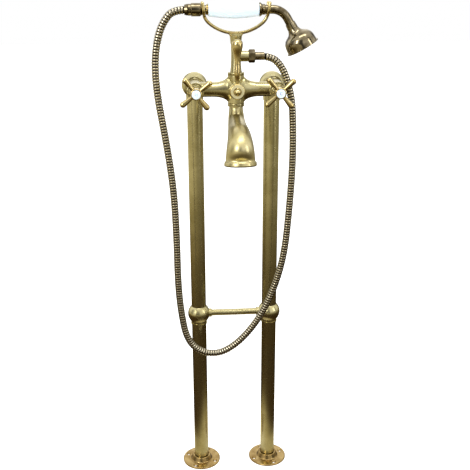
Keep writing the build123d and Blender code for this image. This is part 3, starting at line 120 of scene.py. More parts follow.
class Nodes:
    """The node tree of a material or a world, and the patterns that are built in it."""

    def __init__(self, tree: bpy.types.NodeTree) -> None:
        """Take over a tree and empty it."""
        tree.nodes.clear()
        self.tree = tree

    def add(self, kind: str, inputs: Optional[dict[Any, Any]] = None, **settings: Any) -> bpy.types.Node:
        """Add one shader node with its settings, values and links.

        Args:
            kind: the node's type without its "ShaderNode", such as "TexNoise".
            inputs: input name or number to a value, or to the output socket that feeds it.
            **settings: properties of the node itself.

        Returns:
            The new node.
        """
        node = self.tree.nodes.new(f"ShaderNode{kind}")
        for name, value in settings.items():
            setattr(node, name, value)
        for name, value in (inputs or {}).items():
            if isinstance(value, bpy.types.NodeSocket):
                self.tree.links.new(value, node.inputs[name])
            else:
                node.inputs[name].default_value = value
        return node

    def place(self) -> bpy.types.NodeSocket:
        """Give the place on the object in metres, so that a pattern keeps its real size."""
        return self.add("TexCoord").outputs["Object"]

    def noise(
        self, place: bpy.types.NodeSocket, cloud_mm: float, detail: float, roughness: float = 0.5
    ) -> bpy.types.NodeSocket:
        """Add a pattern of soft clouds.

        Args:
            place: the place in metres.
            cloud_mm: size of the clouds.
            detail: how many finer layers lie over them.
            roughness: how strong the finer layers are.

        Returns:
            The pattern, 0 to 1.
        """
        size = {"Scale": 1 / (cloud_mm * MM), "Detail": detail, "Roughness": roughness}
        return self.add("TexNoise", {"Vector": place, **size}).outputs["Fac"]

    def remap(
        self,
        value: bpy.types.NodeSocket,
        limits: Limits,
        start: Any = 0.0,
        end: Any = 1.0,
        smooth: bool = False,
    ) -> bpy.types.NodeSocket:
        """Carry a value over to another range, clamped at both ends.

        Args:
            value: the value.
            limits: where the value's own range starts and ends.
            start: result at the first limit, as a number or a socket.
            end: result at the second limit.
            smooth: whether the ends are eased.

        Returns:
            The value in the new range.
        """
        ends = {"From Min": limits[0], "From Max": limits[1], "To Min": start, "To Max": end}
        ease = "SMOOTHSTEP" if smooth else "LINEAR"
        return self.add("MapRange", {"Value": value, **ends}, interpolation_type=ease).outputs["Result"]

    def mix(self, factor: bpy.types.NodeSocket, first: Any, second: Any) -> bpy.types.NodeSocket:
        """Mix two colours.

        Args:
            factor: 0 for the first colour, 1 for the second.
            first: a colour or the socket that gives it.
            second: the same.

        Returns:
            The mixed colour.
        """
        return self.add("Mix", {"Factor": factor, 6: first, 7: second}, data_type="RGBA").outputs[2]

    def ramp(
        self, value: bpy.types.NodeSocket, bands: Sequence[tuple[float, str]], interpolation: str = "LINEAR"
    ) -> bpy.types.NodeSocket:
        """Turn a value into a colour.

        Args:
            value: the value, 0 to 1.
            bands: rising values, each with its colour as "#RRGGBB".
            interpolation: how one colour runs over into the next.

        Returns:
            The colour.
        """
        node = self.add("ValToRGB", {"Fac": value})
        node.color_ramp.interpolation = interpolation
        stops = node.color_ramp.elements
        stops[0].position, stops[0].color = bands[0][0], linear_colour(bands[0][1])
        stops[1].position, stops[1].color = bands[-1][0], linear_colour(bands[-1][1])
        for position, code in bands[1:-1]:
            stops.new(position).color = linear_colour(code)
        return node.outputs["Color"]

    def bump(self, height: bpy.types.NodeSocket, strength: float, depth_mm: float) -> bpy.types.NodeSocket:
        """Turn a pattern into relief.

        Args:
            height: the pattern.
            strength: how strongly the light follows it.
            depth_mm: its depth.

        Returns:
            The surface's normal.
        """
        relief = {"Height": height, "Strength": strength, "Distance": depth_mm * MM}
        return self.add("Bump", relief).outputs["Normal"]

    def calculate(self, operation: str, *values: Any) -> bpy.types.NodeSocket:
        """Give the result of a sum, a product or the like of numbers and sockets."""
        return self.add("Math", dict(enumerate(values)), operation=operation).outputs["Value"]

    def surface(self, inputs: dict[str, Any]) -> None:
        """Finish a material with its surface."""
        shader = self.add("BsdfPrincipled", inputs)
        self.add("OutputMaterial", {"Surface": shader.outputs["BSDF"]})


def empty_material(name: str) -> tuple[bpy.types.Material, Nodes]:
    """Make a material whose node tree has nothing in it yet.

    Args:
        name: the material's name.

    Returns:
        The material, and its nodes.
    """
    material = bpy.data.materials.new(name)
    material.use_nodes = True
    return material, Nodes(material.node_tree)


# Finishes


@dataclass(frozen=True)
class AgedMetal:
    """Cast and turned brass with a chemical patina, satin brushed or polished by hand.

    The patina is uneven over a few centimetres, and fine brushing breaks up the gloss.
    """

    name: str
    fresh: str
    aged: str
    deep: str
    roughness: float
    roughness_spread: float
    patch_mm: float
    grain_mm: float
    grain_depth_mm: float
    # Where in their patterns the aged patches, the deep specks and the duller patches start and end
    patch_limits: Limits = (0.34, 0.66)
    speck_limits: Limits = (0.5, 0.8)
    dull_limits: Limits = (0.3, 0.7)
    # Size of a speck as a share of a patch, and how far it darkens
    speck_share: float = 0.22
    speck_strength: float = 0.15
    # Brushing runs round the turned parts, so the grain is long across and short along Z
    brushing: tuple[float, float, float] = (0.16, 0.16, 1.0)
    streak_share: float = 0.8
    bump_strength: float = 0.03

    def material(self) -> bpy.types.Material:
        """Build the metal's material.

        Returns:
            A material on Object coordinates, so that its pattern keeps its real size.
        """
        material, nodes = empty_material(self.name)
        place = nodes.place()
        patches = nodes.noise(place, self.patch_mm, detail=4.0, roughness=0.55)
        specks = nodes.noise(place, self.patch_mm * self.speck_share, detail=3.0, roughness=0.6)
        patina = nodes.mix(
            nodes.remap(patches, self.patch_limits), linear_colour(self.fresh), linear_colour(self.aged)
        )
        speckled = nodes.mix(
            nodes.remap(specks, self.speck_limits, end=self.speck_strength), patina, linear_colour(self.deep)
        )
        brushed = nodes.add("Mapping", {"Vector": place, "Scale": self.brushing}).outputs["Vector"]
        grain = nodes.noise(brushed, self.grain_mm, detail=2.0)
        sheen = nodes.remap(
            patches,
            self.dull_limits,
            start=self.roughness - self.roughness_spread,
            end=self.roughness + self.roughness_spread,
        )
        nodes.surface(
            {
                "Base Color": speckled,
                "Metallic": 1.0,
                "Roughness": nodes.calculate(
                    "MULTIPLY_ADD", grain, self.roughness_spread * self.streak_share, sheen
                ),
                "Normal": nodes.bump(grain, self.bump_strength, self.grain_depth_mm),
            }
        )
        return material


@dataclass(frozen=True)
class GlazedPorcelain:
    """Slip-cast porcelain under a clear glossy glaze, faintly blue, with the odd soft ripple."""

    name: str = "glazed_porcelain"
    body: str = "#CFDCE3"
    shade: str = "#BFCDD6"
    cloud_mm: float = 26.0
    roughness: float = 0.09
    refraction: float = 1.52
    ripple_mm: float = 9.0
    ripple_strength: float = 0.12
    ripple_depth_mm: float = 0.15
    glaze: float = 0.6
    glaze_roughness: float = 0.03
    # How much light enters the body below the glaze, and how deep
    milkiness: float = 0.08
    milk_depth_mm: float = 2.0

    def material(self) -> bpy.types.Material:
        """Build the porcelain's material.

        Returns:
            A white glossy material with a slow tone change and a faint ripple in the glaze.
        """
        material, nodes = empty_material(self.name)
        place = nodes.place()
        cloud = nodes.noise(place, self.cloud_mm, detail=2.0)
        ripple = nodes.noise(place, self.ripple_mm, detail=1.0)
        nodes.surface(
            {
                "Base Color": nodes.mix(cloud, linear_colour(self.body), linear_colour(self.shade)),
                "Roughness": self.roughness,
                "IOR": self.refraction,
                "Normal": nodes.bump(ripple, self.ripple_strength, self.ripple_depth_mm),
                "Coat Weight": self.glaze,
                "Coat Roughness": self.glaze_roughness,
                "Subsurface Weight": self.milkiness,
                "Subsurface Scale": self.milk_depth_mm * MM,
            }
        )
        return material


@dataclass(frozen=True)
class InterlockedHoseMetal:
    """Folded brass strip wound into a hose, with painted shade down its flanks and in its grooves, and
    rubbed bright on its crests.
    """

    name: str = "interlocked_hose_brass"
    crest: str = "#BFB59C"
    # Painted shade: the flanks and the grooves are coloured near black, as if the folds lay in shade
    flank_shade: str = "#262018"
    groove_shade: str = "#0B0906"
    # How far up a crest each of the three colours lies
    crest_at: float = 0.95
    flank_at: float = 0.68
    groove_at: float = 0.08
    crest_roughness: float = 0.2
    groove_roughness: float = 0.55
    wear_mm: float = 11.0
    wear_limits: Limits = (0.35, 0.7)
    wear_strength: float = 0.2

    def material(self) -> bpy.types.Material:
        """Build the hose's material.

        Returns:
            A material that reads the hose's own crest layer, 0 in a groove and 1 on top.
        """
        material, nodes = empty_material(self.name)
        height = nodes.add("Attribute", attribute_name=CREST_LAYER).outputs["Fac"]
        # The ramp paints shade: near black in the grooves, dark on the flanks, the brass's own colour on the
        # crests
        bands = ((self.groove_at, self.groove_shade), (self.flank_at, self.flank_shade), (self.crest_at, self.crest))
        wear = nodes.noise(nodes.place(), self.wear_mm, detail=3.0)
        worn = nodes.remap(wear, self.wear_limits, end=self.wear_strength)
        nodes.surface(
            {
                "Base Color": nodes.mix(worn, nodes.ramp(height, bands), linear_colour(self.flank_shade)),
                "Metallic": 1.0,
                "Roughness": nodes.remap(height, (0.0, 1.0), self.groove_roughness, self.crest_roughness),
            }
        )
        return material


@dataclass(frozen=True)
class PlainStuff:
    """A non-metal finish with a fine even grain: pressed fibre, ground ceramic or fired ink."""

    name: str
    light: str
    dark: str
    roughness: float
    grain_mm: float
    bump_mm: float = 0.05
    bump_strength: float = 0.4

    def material(self) -> bpy.types.Material:
        """Build the material from one grain pattern.

        Returns:
            A dielectric material with its grain in colour and bump.
        """
        material, nodes = empty_material(self.name)
        grain = nodes.noise(nodes.place(), self.grain_mm, detail=4.0)
        nodes.surface(
            {
                "Base Color": nodes.mix(grain, linear_colour(self.light), linear_colour(self.dark)),
                "Roughness": self.roughness,
                "Normal": nodes.bump(grain, self.bump_strength, self.bump_mm),
            }
        )
        return material


class Finish(Enum):
    """The finishes of the mixer, by what each surface is made of."""

    SATIN_BRASS = "satin antique brass"
    BROWNED_BRASS = "browned brass"
    BRUSHED_BRASS = "brushed antique brass"
    POLISHED_BRASS = "polished antique brass"
    DARK_BRONZE = "dark polished bronze"
    # Pale with a painted highlight of the key light
    FACED_BRASS = "lathe-faced brass"
    MACHINED_BRASS = "machined brass"
    HOSE = "interlocked hose"
    PORCELAIN = "glazed porcelain"
    GROUND_CERAMIC = "ground valve ceramic"
    FIBRE = "pressed fibre"
    FIRED_INK = "fired blue ink"


Recipe = AgedMetal | GlazedPorcelain | InterlockedHoseMetal | PlainStuff

RECIPES: dict[Finish, Recipe] = {
    # Acid-aged then satin brushed: olive gold with soft wide highlights.
    Finish.SATIN_BRASS: AgedMetal(
        name="satin_antique_brass", fresh="#C4BA8E", aged="#ACA172", deep="#87794A",
        roughness=0.25, roughness_spread=0.03, patch_mm=40.0, grain_mm=0.9, grain_depth_mm=0.006,
    ),
    # The spout is brushed coarser, so its highlights run out softly over the swell of the bell.
    Finish.BRUSHED_BRASS: AgedMetal(
        name="brushed_antique_brass", fresh="#C8BC8E", aged="#AFA26E", deep="#8A784A",
        roughness=0.33, roughness_spread=0.03, patch_mm=30.0, grain_mm=0.9, grain_depth_mm=0.006,
    ),
    # The floor flanges are aged further, a browner gold under the same brushing.
    Finish.BROWNED_BRASS: AgedMetal(
        name="browned_brass", fresh="#A8905E", aged="#846A3C", deep="#5C4522",
        roughness=0.24, roughness_spread=0.04, patch_mm=14.0, grain_mm=0.7, grain_depth_mm=0.006,
    ),
    # The same brass buffed after ageing: warmer and sharper highlights.
    Finish.POLISHED_BRASS: AgedMetal(
        name="polished_antique_brass", fresh="#CFBE88", aged="#B09A64", deep="#7C683C",
        roughness=0.17, roughness_spread=0.04, patch_mm=22.0, grain_mm=0.7, grain_depth_mm=0.01,
    ),
    # Oxidised dark and polished back: brown black with hard bright bands.
    Finish.DARK_BRONZE: AgedMetal(
        name="dark_polished_bronze", fresh="#9A8E72", aged="#5C513A", deep="#1E1810",
        roughness=0.11, roughness_spread=0.04, patch_mm=16.0, grain_mm=0.6, grain_depth_mm=0.006,
    ),
    # Faced on the lathe and left rough; its near-white colour is a painted highlight, the key light caught
    # over its whole width.
    Finish.FACED_BRASS: AgedMetal(
        name="lathe_faced_brass", fresh="#FFF8D2", aged="#F4E9B8", deep="#D8C888",
        roughness=0.45, roughness_spread=0.05, patch_mm=12.0, grain_mm=0.4, grain_depth_mm=0.01,
    ),
    # Bare brass inside the valves, as it left the lathe.
    Finish.MACHINED_BRASS: AgedMetal(
        name="machined_brass", fresh="#D8BE6E", aged="#C7A95A", deep="#A98B45",
        roughness=0.25, roughness_spread=0.05, patch_mm=18.0, grain_mm=0.5, grain_depth_mm=0.015,
    ),
    Finish.HOSE: InterlockedHoseMetal(),
    Finish.PORCELAIN: GlazedPorcelain(),
    Finish.GROUND_CERAMIC: PlainStuff(
        name="ground_valve_ceramic", light="#E9E7E1", dark="#D5D2CA", roughness=0.3, grain_mm=1.5
    ),
    Finish.FIBRE: PlainStuff(
        name="pressed_fibre", light="#5C2E22", dark="#3B1B14", roughness=0.8, grain_mm=0.8
    ),
    Finish.FIRED_INK: PlainStuff(
        name="fired_blue_ink", light="#2A45A0", dark="#1A2F7A", roughness=0.25, grain_mm=2.0, bump_mm=0.01
    ),
}


class Palette:
    """Makes each finish's material once and hands it out."""

    def __init__(self) -> None:
        """Start with no material made."""
        self._made: dict[Finish, bpy.types.Material] = {}

    def __call__(self, finish: Finish) -> bpy.types.Material:
        """Give a finish's material, made at its first use.

        Args:
            finish: the finish.

        Returns:
            Its material, the same one each time.
        """
        if finish not in self._made:
            self._made[finish] = RECIPES[finish].material()
        return self._made[finish]


# Mesh tools


def upright(origin: Vector, axis: Vector) -> Matrix:
    """Placement that turns local Z to an axis, with its origin at a point.

    Args:
        origin: where the local origin goes.
        axis: where the local Z axis points.

    Returns:
        A rigid placement matrix.
    """
    return Matrix.Translation(origin) @ axis.to_track_quat("Z", "Y").to_matrix().to_4x4()


def turned(outline: Sequence[tuple[float, float]], origin: Vector, axis: Vector) -> bmesh.types.BMesh:
    """Spin a closed outline of (radius, distance along the axis) into a turned ring or sleeve.

    Args:
        outline: points in metres, in order along the shape's skin. The last joins the first.
        origin: point on the axis that distances are measured from.
        axis: turning axis, away from the origin.

    Returns:
        A bmesh in the part's frame, normals outwards.
    """
    bm = bmesh.new()
    verts = [bm.verts.new((radius, 0.0, along)) for radius, along in outline]
    edges = [bm.edges.new(pair) for pair in [*zip(verts, verts[1:]), (verts[-1], verts[0])]]
    bmesh.ops.spin(
        bm,
        geom=[*verts, *edges],
        cent=(0, 0, 0),
        axis=(0, 0, 1),
        angle=math.tau,
        steps=TURNED_FACETS,
        use_merge=True,
    )
    bmesh.ops.remove_doubles(bm, verts=bm.verts[:], dist=SAME_POINT)
    bmesh.ops.recalc_face_normals(bm, faces=bm.faces[:])
    bmesh.ops.transform(bm, matrix=upright(origin, axis.normalized()), verts=bm.verts[:])
    return bm


def rounded(points: Sequence[tuple[float, float, float]]) -> list[tuple[float, float]]:
    """Round the corners of an outline of (radius, distance, corner radius).

    Args:
        points: the outline's corners in millimetres, each with its rounding.

    Returns:
        The outline's points in metres.
    """
    out: list[tuple[float, float]] = []
    last = len(points) - 1
    for number, (radius, along, corner) in enumerate(points):
        here = Vector((radius, along))
        if corner <= 0 or number in (0, last):
            out.append((radius * MM, along * MM))
            continue
        before = Vector(points[number - 1][:2]) - here
        after = Vector(points[number + 1][:2]) - here
        half = before.angle(after) / 2
        cut = min(corner / math.tan(half), before.length / 2, after.length / 2)
        start, end = here + before.normalized() * cut, here + after.normalized() * cut
        for step in range(CORNER_STEPS + 1):
            share = step / CORNER_STEPS
            spot = start * (1 - share) ** 2 + here * 2 * share * (1 - share) + end * share**2
            out.append((spot.x * MM, spot.y * MM))
    return out


def evaluated_mesh(data: bpy.types.Curve) -> bpy.types.Mesh:
    """Turn a curve or a text into a mesh.

    Args:
        data: the curve or text.

    Returns:
        Its mesh, which the caller removes.
    """
    holder = bpy.data.objects.new(data.name, data)
    bpy.context.scene.collection.objects.link(holder)
    bpy.context.view_layer.update()
    mesh = bpy.data.meshes.new_from_object(holder.evaluated_get(bpy.context.evaluated_depsgraph_get()))
    bpy.data.objects.remove(holder)
    return mesh


def mesh_object(
    bm: bmesh.types.BMesh,
    name: str,
    material: bpy.types.Material,
    smooth_angle: float = math.radians(38),
) -> bpy.types.Object:
    """Turn a bmesh into an object with smooth skins and crisp creases.

    Args:
        bm: the finished bmesh, which is freed.
        name: the piece's name.
        material: its only material.
        smooth_angle: edges that turn more than this stay sharp.

    Returns:
        The object, at the origin and linked to the scene.
    """
    for face in bm.faces:
        face.smooth = True
    for edge in bm.edges:
        edge.smooth = not edge.is_manifold or edge.calc_face_angle(0.0) < smooth_angle
    mesh = bpy.data.meshes.new(name)
    bm.to_mesh(mesh)
    bm.free()
    mesh.materials.append(material)
    piece = bpy.data.objects.new(name, mesh)
    bpy.context.scene.collection.objects.link(piece)
    return piece


@dataclass
class SubAssembly:
    """What every sub-assembly shares: the frame, the finishes and how new pieces are fixed to their bodies.
    """

    frame: dict[str, Any]
    palette: Palette

    def dress(self, nodes: Iterable[str], finish: Finish) -> None:
        """Give CAD nodes their finish, with smooth skins and crisp creases.

        Args:
            nodes: names of the CAD nodes.
            finish: what they are made of.
        """
        for name in nodes:
            node = self.frame["nodes"][name]
            node.data.materials.clear()
            node.data.materials.append(self.palette(finish))
            node.data.polygons.foreach_set("use_smooth", [True] * len(node.data.polygons))
            weld = node.modifiers.new("join_triangles", "WELD")
            weld.merge_threshold = WELD_DISTANCE
            crease = node.modifiers.new("crisp_creases", "EDGE_SPLIT")
            crease.split_angle = CREASE_ANGLE
            LOG.info("dressed %s with %s", name, finish.value)

    def hand_in(
        self, piece: bpy.types.Object, body: str, slot: str, replaces: Sequence[str] = ()
    ) -> None:
        """Fix a new piece to its body and hide the CAD nodes that it stands for.

        Args:
            piece: the new piece.
            body: the CAD body that it rides on.
            slot: the record's material slot; not used.
            replaces: CAD nodes that it stands for.
        """
        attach(piece, body)
        if replaces:
            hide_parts(*replaces)
        LOG.info("made %s: %d faces, rides on %s", piece.name, len(piece.data.polygons), body)


# Sub-assemblies


@dataclass
class FloorStand(SubAssembly):
    """Two supply legs on floor flanges, with ball tees and a crossbar."""

    def build(self) -> None:
        """Dress the flanges, legs, tees, crossbar, elbows and unions."""
        self.dress(self._pair("floor_flange"), Finish.BROWNED_BRASS)
        for part in ("lower_leg", "upper_leg", "ball_tee", "elbow", "union_nut"):
            self.dress(self._pair(part), Finish.SATIN_BRASS)
        self.dress(["crossbar"], Finish.SATIN_BRASS)
        self.dress(["union_washers"], Finish.FIBRE)

    @staticmethod
    def _pair(part: str) -> list[str]:
        """Name a part's nodes on both legs."""
        return [f"{side}_{part}" for side in ("left", "right")]


@dataclass
class ValveBody(SubAssembly):
    """Mixer body with its two valves, column ring and spout ring."""

    def build(self) -> None:
        """Dress the casting, the rings and what is inside the valves."""
        self.dress(
            ["mixer_body", "column_ring", "spout_ring", "hot_bonnet", "cold_bonnet"], Finish.SATIN_BRASS
        )
        self.dress(["hot_headwork", "cold_headwork", "hot_spindle", "cold_spindle"], Finish.MACHINED_BRASS)
        self.dress(["fixed_valve_discs", "hot_turning_disc", "cold_turning_disc"], Finish.GROUND_CERAMIC)


@dataclass
class CrossHandle(SubAssembly):
    """One cross handle with its screw and its porcelain index."""

    side: str
    letter: str
    centre_x_mm: float
    height_mm: float = VALVE_HEIGHT_MM
    letter_mm: float = 7.2
    ink_mm: float = 0.05
    dome_mm: float = 1.9

    def build(self) -> None:
        """Dress the handle and ink its letter."""
        self.dress([f"{self.side}_handle"], Finish.POLISHED_BRASS)
        self.dress([f"{self.side}_handle_screw"], Finish.MACHINED_BRASS)
        self.dress([f"{self.side}_index"], Finish.PORCELAIN)
        self._letter()

    def _letter(self) -> None:
        """Lay a plain letter on the index's dome."""
        low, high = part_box(f"{self.side}_index")
        radius, dome_height = (high.x - low.x) / 2, self.dome_mm * MM
        dome = (radius**2 + dome_height**2) / (2 * dome_height)
        words = bpy.data.curves.new(f"{self.side}_letter", "FONT")
        words.body = self.letter
        words.size = self.letter_mm * MM
        words.align_x, words.align_y = "CENTER", "CENTER"
        words.extrude = self.ink_mm * MM
        mesh = evaluated_mesh(words)
        bm = bmesh.new()
        bm.from_mesh(mesh)
        bpy.data.meshes.remove(mesh)
        bmesh.ops.triangulate(bm, faces=bm.faces[:])
        bmesh.ops.remove_doubles(bm, verts=bm.verts[:], dist=SAME_POINT)
        place = Matrix.Translation((self.centre_x_mm * MM, low.y, self.height_mm * MM))
        bmesh.ops.transform(bm, matrix=place @ Matrix.Rotation(math.pi / 2, 4, "X"), verts=bm.verts[:])
        for vert in bm.verts:
            away = math.hypot(vert.co.x - self.centre_x_mm * MM, vert.co.z - self.height_mm * MM)
            vert.co.y += dome - math.sqrt(dome**2 - away**2)
        piece = mesh_object(bm, f"{self.side}_index_letter", self.palette(Finish.FIRED_INK))
        self.hand_in(piece, f"{self.side}_tap", "white_porcelain")


@dataclass
class Diverter(SubAssembly):
    """Cover, plug, club-shaped lever and dome nut."""

    height_mm: float = VALVE_HEIGHT_MM
    disc_front_mm: float = 107.6
    face_outer_mm: float = 12.2
    face_inner_mm: float = 7.6
    face_raise_mm: float = 0.25
    lathe_steps: int = 9
    lathe_step_mm: float = 0.05

    def build(self) -> None:
        """Dress the diverter's pieces and lay a faced ring on the front of its disc, pale with a painted
        highlight.
        """
        self.dress(["diverter_cover"], Finish.SATIN_BRASS)
        self.dress(["diverter_lever", "diverter_dome_nut"], Finish.POLISHED_BRASS)
        self.dress(["diverter_plug"], Finish.MACHINED_BRASS)
        self._faced_highlight_ring()

    def _faced_highlight_ring(self) -> None:
        """Turn the faced ring round the dome nut, with fine lathe steps; its pale colour is a painted
        highlight.
        """
        front = self.disc_front_mm
        pitch = (self.face_outer_mm - self.face_inner_mm) / self.lathe_steps
        outline = [(self.face_outer_mm * MM, front * MM), (self.face_inner_mm * MM, front * MM)]
        for number in range(self.lathe_steps + 1):
            drop = self.lathe_step_mm if number % 2 else 0.0
            radius = self.face_inner_mm + pitch * number
            outline.append((radius * MM, (front + self.face_raise_mm - drop) * MM))
        bm = turned(outline, Vector((0, 0, self.height_mm * MM)), Vector((0, -1, 0)))
        # The ring's near-white colour is a painted highlight
        piece = mesh_object(bm, "diverter_faced_highlight_ring", self.palette(Finish.FACED_BRASS))
        self.hand_in(piece, "diverter", "polished_brass")


@dataclass
class ColumnAndSpout(SubAssembly):
    """Shower column with its cradle above the body, and the spout below it."""

    def build(self) -> None:
        """Dress the column, the cradle and the spout."""
        self.dress(["shower_column"], Finish.SATIN_BRASS)
        self.dress(["spout_arm", "spout"], Finish.BRUSHED_BRASS)
        self.dress(["cradle"], Finish.POLISHED_BRASS)


@dataclass
class HandShower(SubAssembly):
    """Hand shower: inlet, collars, porcelain grip, bent tube and bell."""

    grip_left_mm: float = -49.6
    grip_length_mm: float = 91.6
    grip_end_mm: float = 11.3
    grip_middle_mm: float = 15.3
    grip_bore_mm: float = 7.2
    grip_rounding_mm: float = 1.6
    grip_segments: int = 24
    grip_smooth_angle: float = math.radians(50)
    axis_height_mm: float = 987.0
    axis_forward_mm: float = HOSE_FORWARD_MM

    def build(self) -> None:
        """Make the grip and dress the metal."""
        self._grip()
        self.dress(
            ["handset_inlet", "handset_front_collar", "handset_tube", "shower_bell", "spray_plate"],
            Finish.DARK_BRONZE,
        )
        self.dress(["handset_rear_collar", "handset_core_tube"], Finish.POLISHED_BRASS)

    def _grip(self) -> None:
        """Turn the porcelain grip with soft ends and a smooth swell."""
        half = self.grip_length_mm / 2
        swell = self.grip_middle_mm - self.grip_end_mm
        arc = (half**2 + swell**2) / (2 * swell)
        skin = []
        for step in range(self.grip_segments + 1):
            along = self.grip_length_mm * step / self.grip_segments
            radius = self.grip_middle_mm - arc + math.sqrt(arc**2 - (along - half) ** 2)
            skin.append((radius, along, self.grip_rounding_mm if step in (0, self.grip_segments) else 0.0))
        bore = self.grip_bore_mm
        outline = rounded([(bore, 0.0, 0.0), *skin, (bore, self.grip_length_mm, 0.0)])
        origin = Vector((self.grip_left_mm, -self.axis_forward_mm, self.axis_height_mm)) * MM
        bm = turned(outline, origin, Vector((1, 0, 0)))
        porcelain = self.palette(Finish.PORCELAIN)
        piece = mesh_object(bm, "porcelain_grip_glazed", porcelain, self.grip_smooth_angle)
        self.hand_in(piece, "handset", "white_porcelain", ["porcelain_grip"])


@dataclass
class ShowerHose(SubAssembly):
    """Interlocked metal hose from the column's outlet to the hand shower, with its fittings."""

    radius_mm: float = 7.0
    groove_mm: float = 6.05
    smooth_mm: float = 6.2
    pitch_mm: float = 5.2
    lower_smooth_mm: float = 16.5
    upper_smooth_mm: float = 8.0
    forward_mm: float = HOSE_FORWARD_MM
    facets: int = 18
    smooth_angle: float = math.radians(70)
    # The smooth ends: length of their step to the ribs, and how far up a crest their sheen is, which sets
    # them dark on the hose's painted shade
    end_step_mm: float = 0.3
    end_rise: float = 0.6
    # One fold of the strip, as shares of the pitch and of the crest: groove, flank, crest, rolled edge
    fold: tuple[tuple[float, float], ...] = (
        (0.0, 0.0), (0.16, 0.0), (0.26, 0.85), (0.42, 1.0), (0.78, 1.0), (0.92, 0.8),
    )
    # Control points of the route: right of the middle and above the floor
    route_mm: tuple[tuple[float, float], ...] = (
        (37.6, 905.6), (63.2, 905.6), (82.8, 889.0), (95.5, 862.0), (105.0, 822.0), (107.5, 778.0),
        (108.6, 730.0), (107.6, 681.0), (105.0, 632.0), (101.6, 584.0), (97.6, 538.0),
        (89.5, 492.0), (75.5, 444.0), (54.0, 394.0), (26.0, 351.5), (-5.0, 320.0), (-36.0, 303.5),
        (-67.0, 306.0), (-90.8, 322.6), (-104.2, 350.0), (-110.4, 386.8), (-115.2, 432.0),
        (-117.0, 482.0), (-117.0, 532.0), (-117.6, 582.0), (-119.2, 632.0), (-123.0, 682.0),
        (-129.0, 731.0), (-136.0, 779.0), (-143.5, 826.0), (-147.4, 870.0), (-146.2, 910.0),
        (-139.2, 944.5), (-129.2, 967.0), (-112.0, 987.0), (-85.8, 987.0),
    )
    route_order: int = 3
    route_resolution: int = 24
    path: list[Vector] = field(default_factory=list)

    def build(self) -> None:
        """Wind the hose along its route, then dress its fittings."""
        self._read_path()
        self._wind()
        self.dress(
            ["hose_lower_nut", "hose_lower_ferrule", "hose_upper_nut", "hose_upper_ferrule"],
            Finish.DARK_BRONZE,
        )
        self.dress(["hose_lower_washer", "hose_upper_washer"], Finish.FIBRE)

    def _read_path(self) -> None:
        """Read close points of the smooth curve that the control points give."""
        curve = bpy.data.curves.new("hose_route", "CURVE")
        curve.dimensions = "3D"
        curve.resolution_u = self.route_resolution
        spline = curve.splines.new("NURBS")
        spline.points.add(len(self.route_mm) - 1)
        for point, (right, height) in zip(spline.points, self.route_mm):
            point.co = (right * MM, -self.forward_mm * MM, height * MM, 1.0)
        spline.order_u = self.route_order
        spline.use_endpoint_u = True
        outlet = Vector(spline.points[0].co[:3])
        mesh = evaluated_mesh(curve)
        self.path = [vert.co.copy() for vert in mesh.vertices]
        bpy.data.meshes.remove(mesh)
        if (self.path[0] - outlet).length > (self.path[-1] - outlet).length:
            self.path.reverse()

    def _places(self, distances: Sequence[float]) -> list[tuple[Vector, Vector]]:
        """Find points and directions on the path.

        Args:
            distances: rising distances from the path's start, in metres.

        Returns:
            The point and the unit direction at each distance.
        """
        out, number, passed = [], 0, 0.0
        for distance in distances:
            step = (self.path[number + 1] - self.path[number]).length
            while passed + step < distance and number < len(self.path) - 2:
                passed += step
                number += 1
                step = (self.path[number + 1] - self.path[number]).length
            share = (distance - passed) / step
            before = self.path[max(number - 1, 0)]
            after = self.path[min(number + 2, len(self.path) - 1)]
            out.append((self.path[number].lerp(self.path[number + 1], share), (after - before).normalized()))
        return out

    def _rings(self, length: float) -> list[tuple[float, float, float]]:
        """List the hose's rings.

        Args:
            length: the path's length in metres.

        Returns:
            Distance and radius in metres, and how far up a crest each ring lies.
        """
        start, end = self.lower_smooth_mm * MM, length - self.upper_smooth_mm * MM
        count = round((end - start) / (self.pitch_mm * MM))
        pitch = (end - start) / count
        smooth, end_step = self.smooth_mm * MM, self.end_step_mm * MM
        rings = [(0.0, smooth, self.end_rise), (start - end_step, smooth, self.end_rise)]
        for number in range(count):
            for share, rise in self.fold:
                radius = (self.groove_mm + (self.radius_mm - self.groove_mm) * rise) * MM
                rings.append((start + pitch * (number + share), radius, rise))
        rings.append((end, self.groove_mm * MM, 0.0))
        rings.append((end + end_step, smooth, self.end_rise))
        rings.append((length, smooth, self.end_rise))
        return rings

    @staticmethod
    def _next_ring(
        bm: bmesh.types.BMesh, verts: Sequence[bmesh.types.BMVert], edges: Sequence[bmesh.types.BMEdge]
    ) -> tuple[list[bmesh.types.BMVert], list[bmesh.types.BMEdge]]:
        """Extrude the hose's open end by one ring.

        Args:
            bm: the hose so far.
            verts: points of its last ring, in order.
            edges: edges of its last ring.

        Returns:
            The new ring's points in the same order, and its edges.
        """
        made = bmesh.ops.extrude_edge_only(bm, edges=edges)["geom"]
        new_edges = [g for g in made if isinstance(g, bmesh.types.BMEdge) and len(g.link_faces) == 1]
        new_verts = {vert for edge in new_edges for vert in edge.verts}
        partner = {}
        for vert in new_verts:
            for edge in vert.link_edges:
                other = edge.other_vert(vert)
                if other not in new_verts:
                    partner[other] = vert
        return [partner[vert] for vert in verts], new_edges

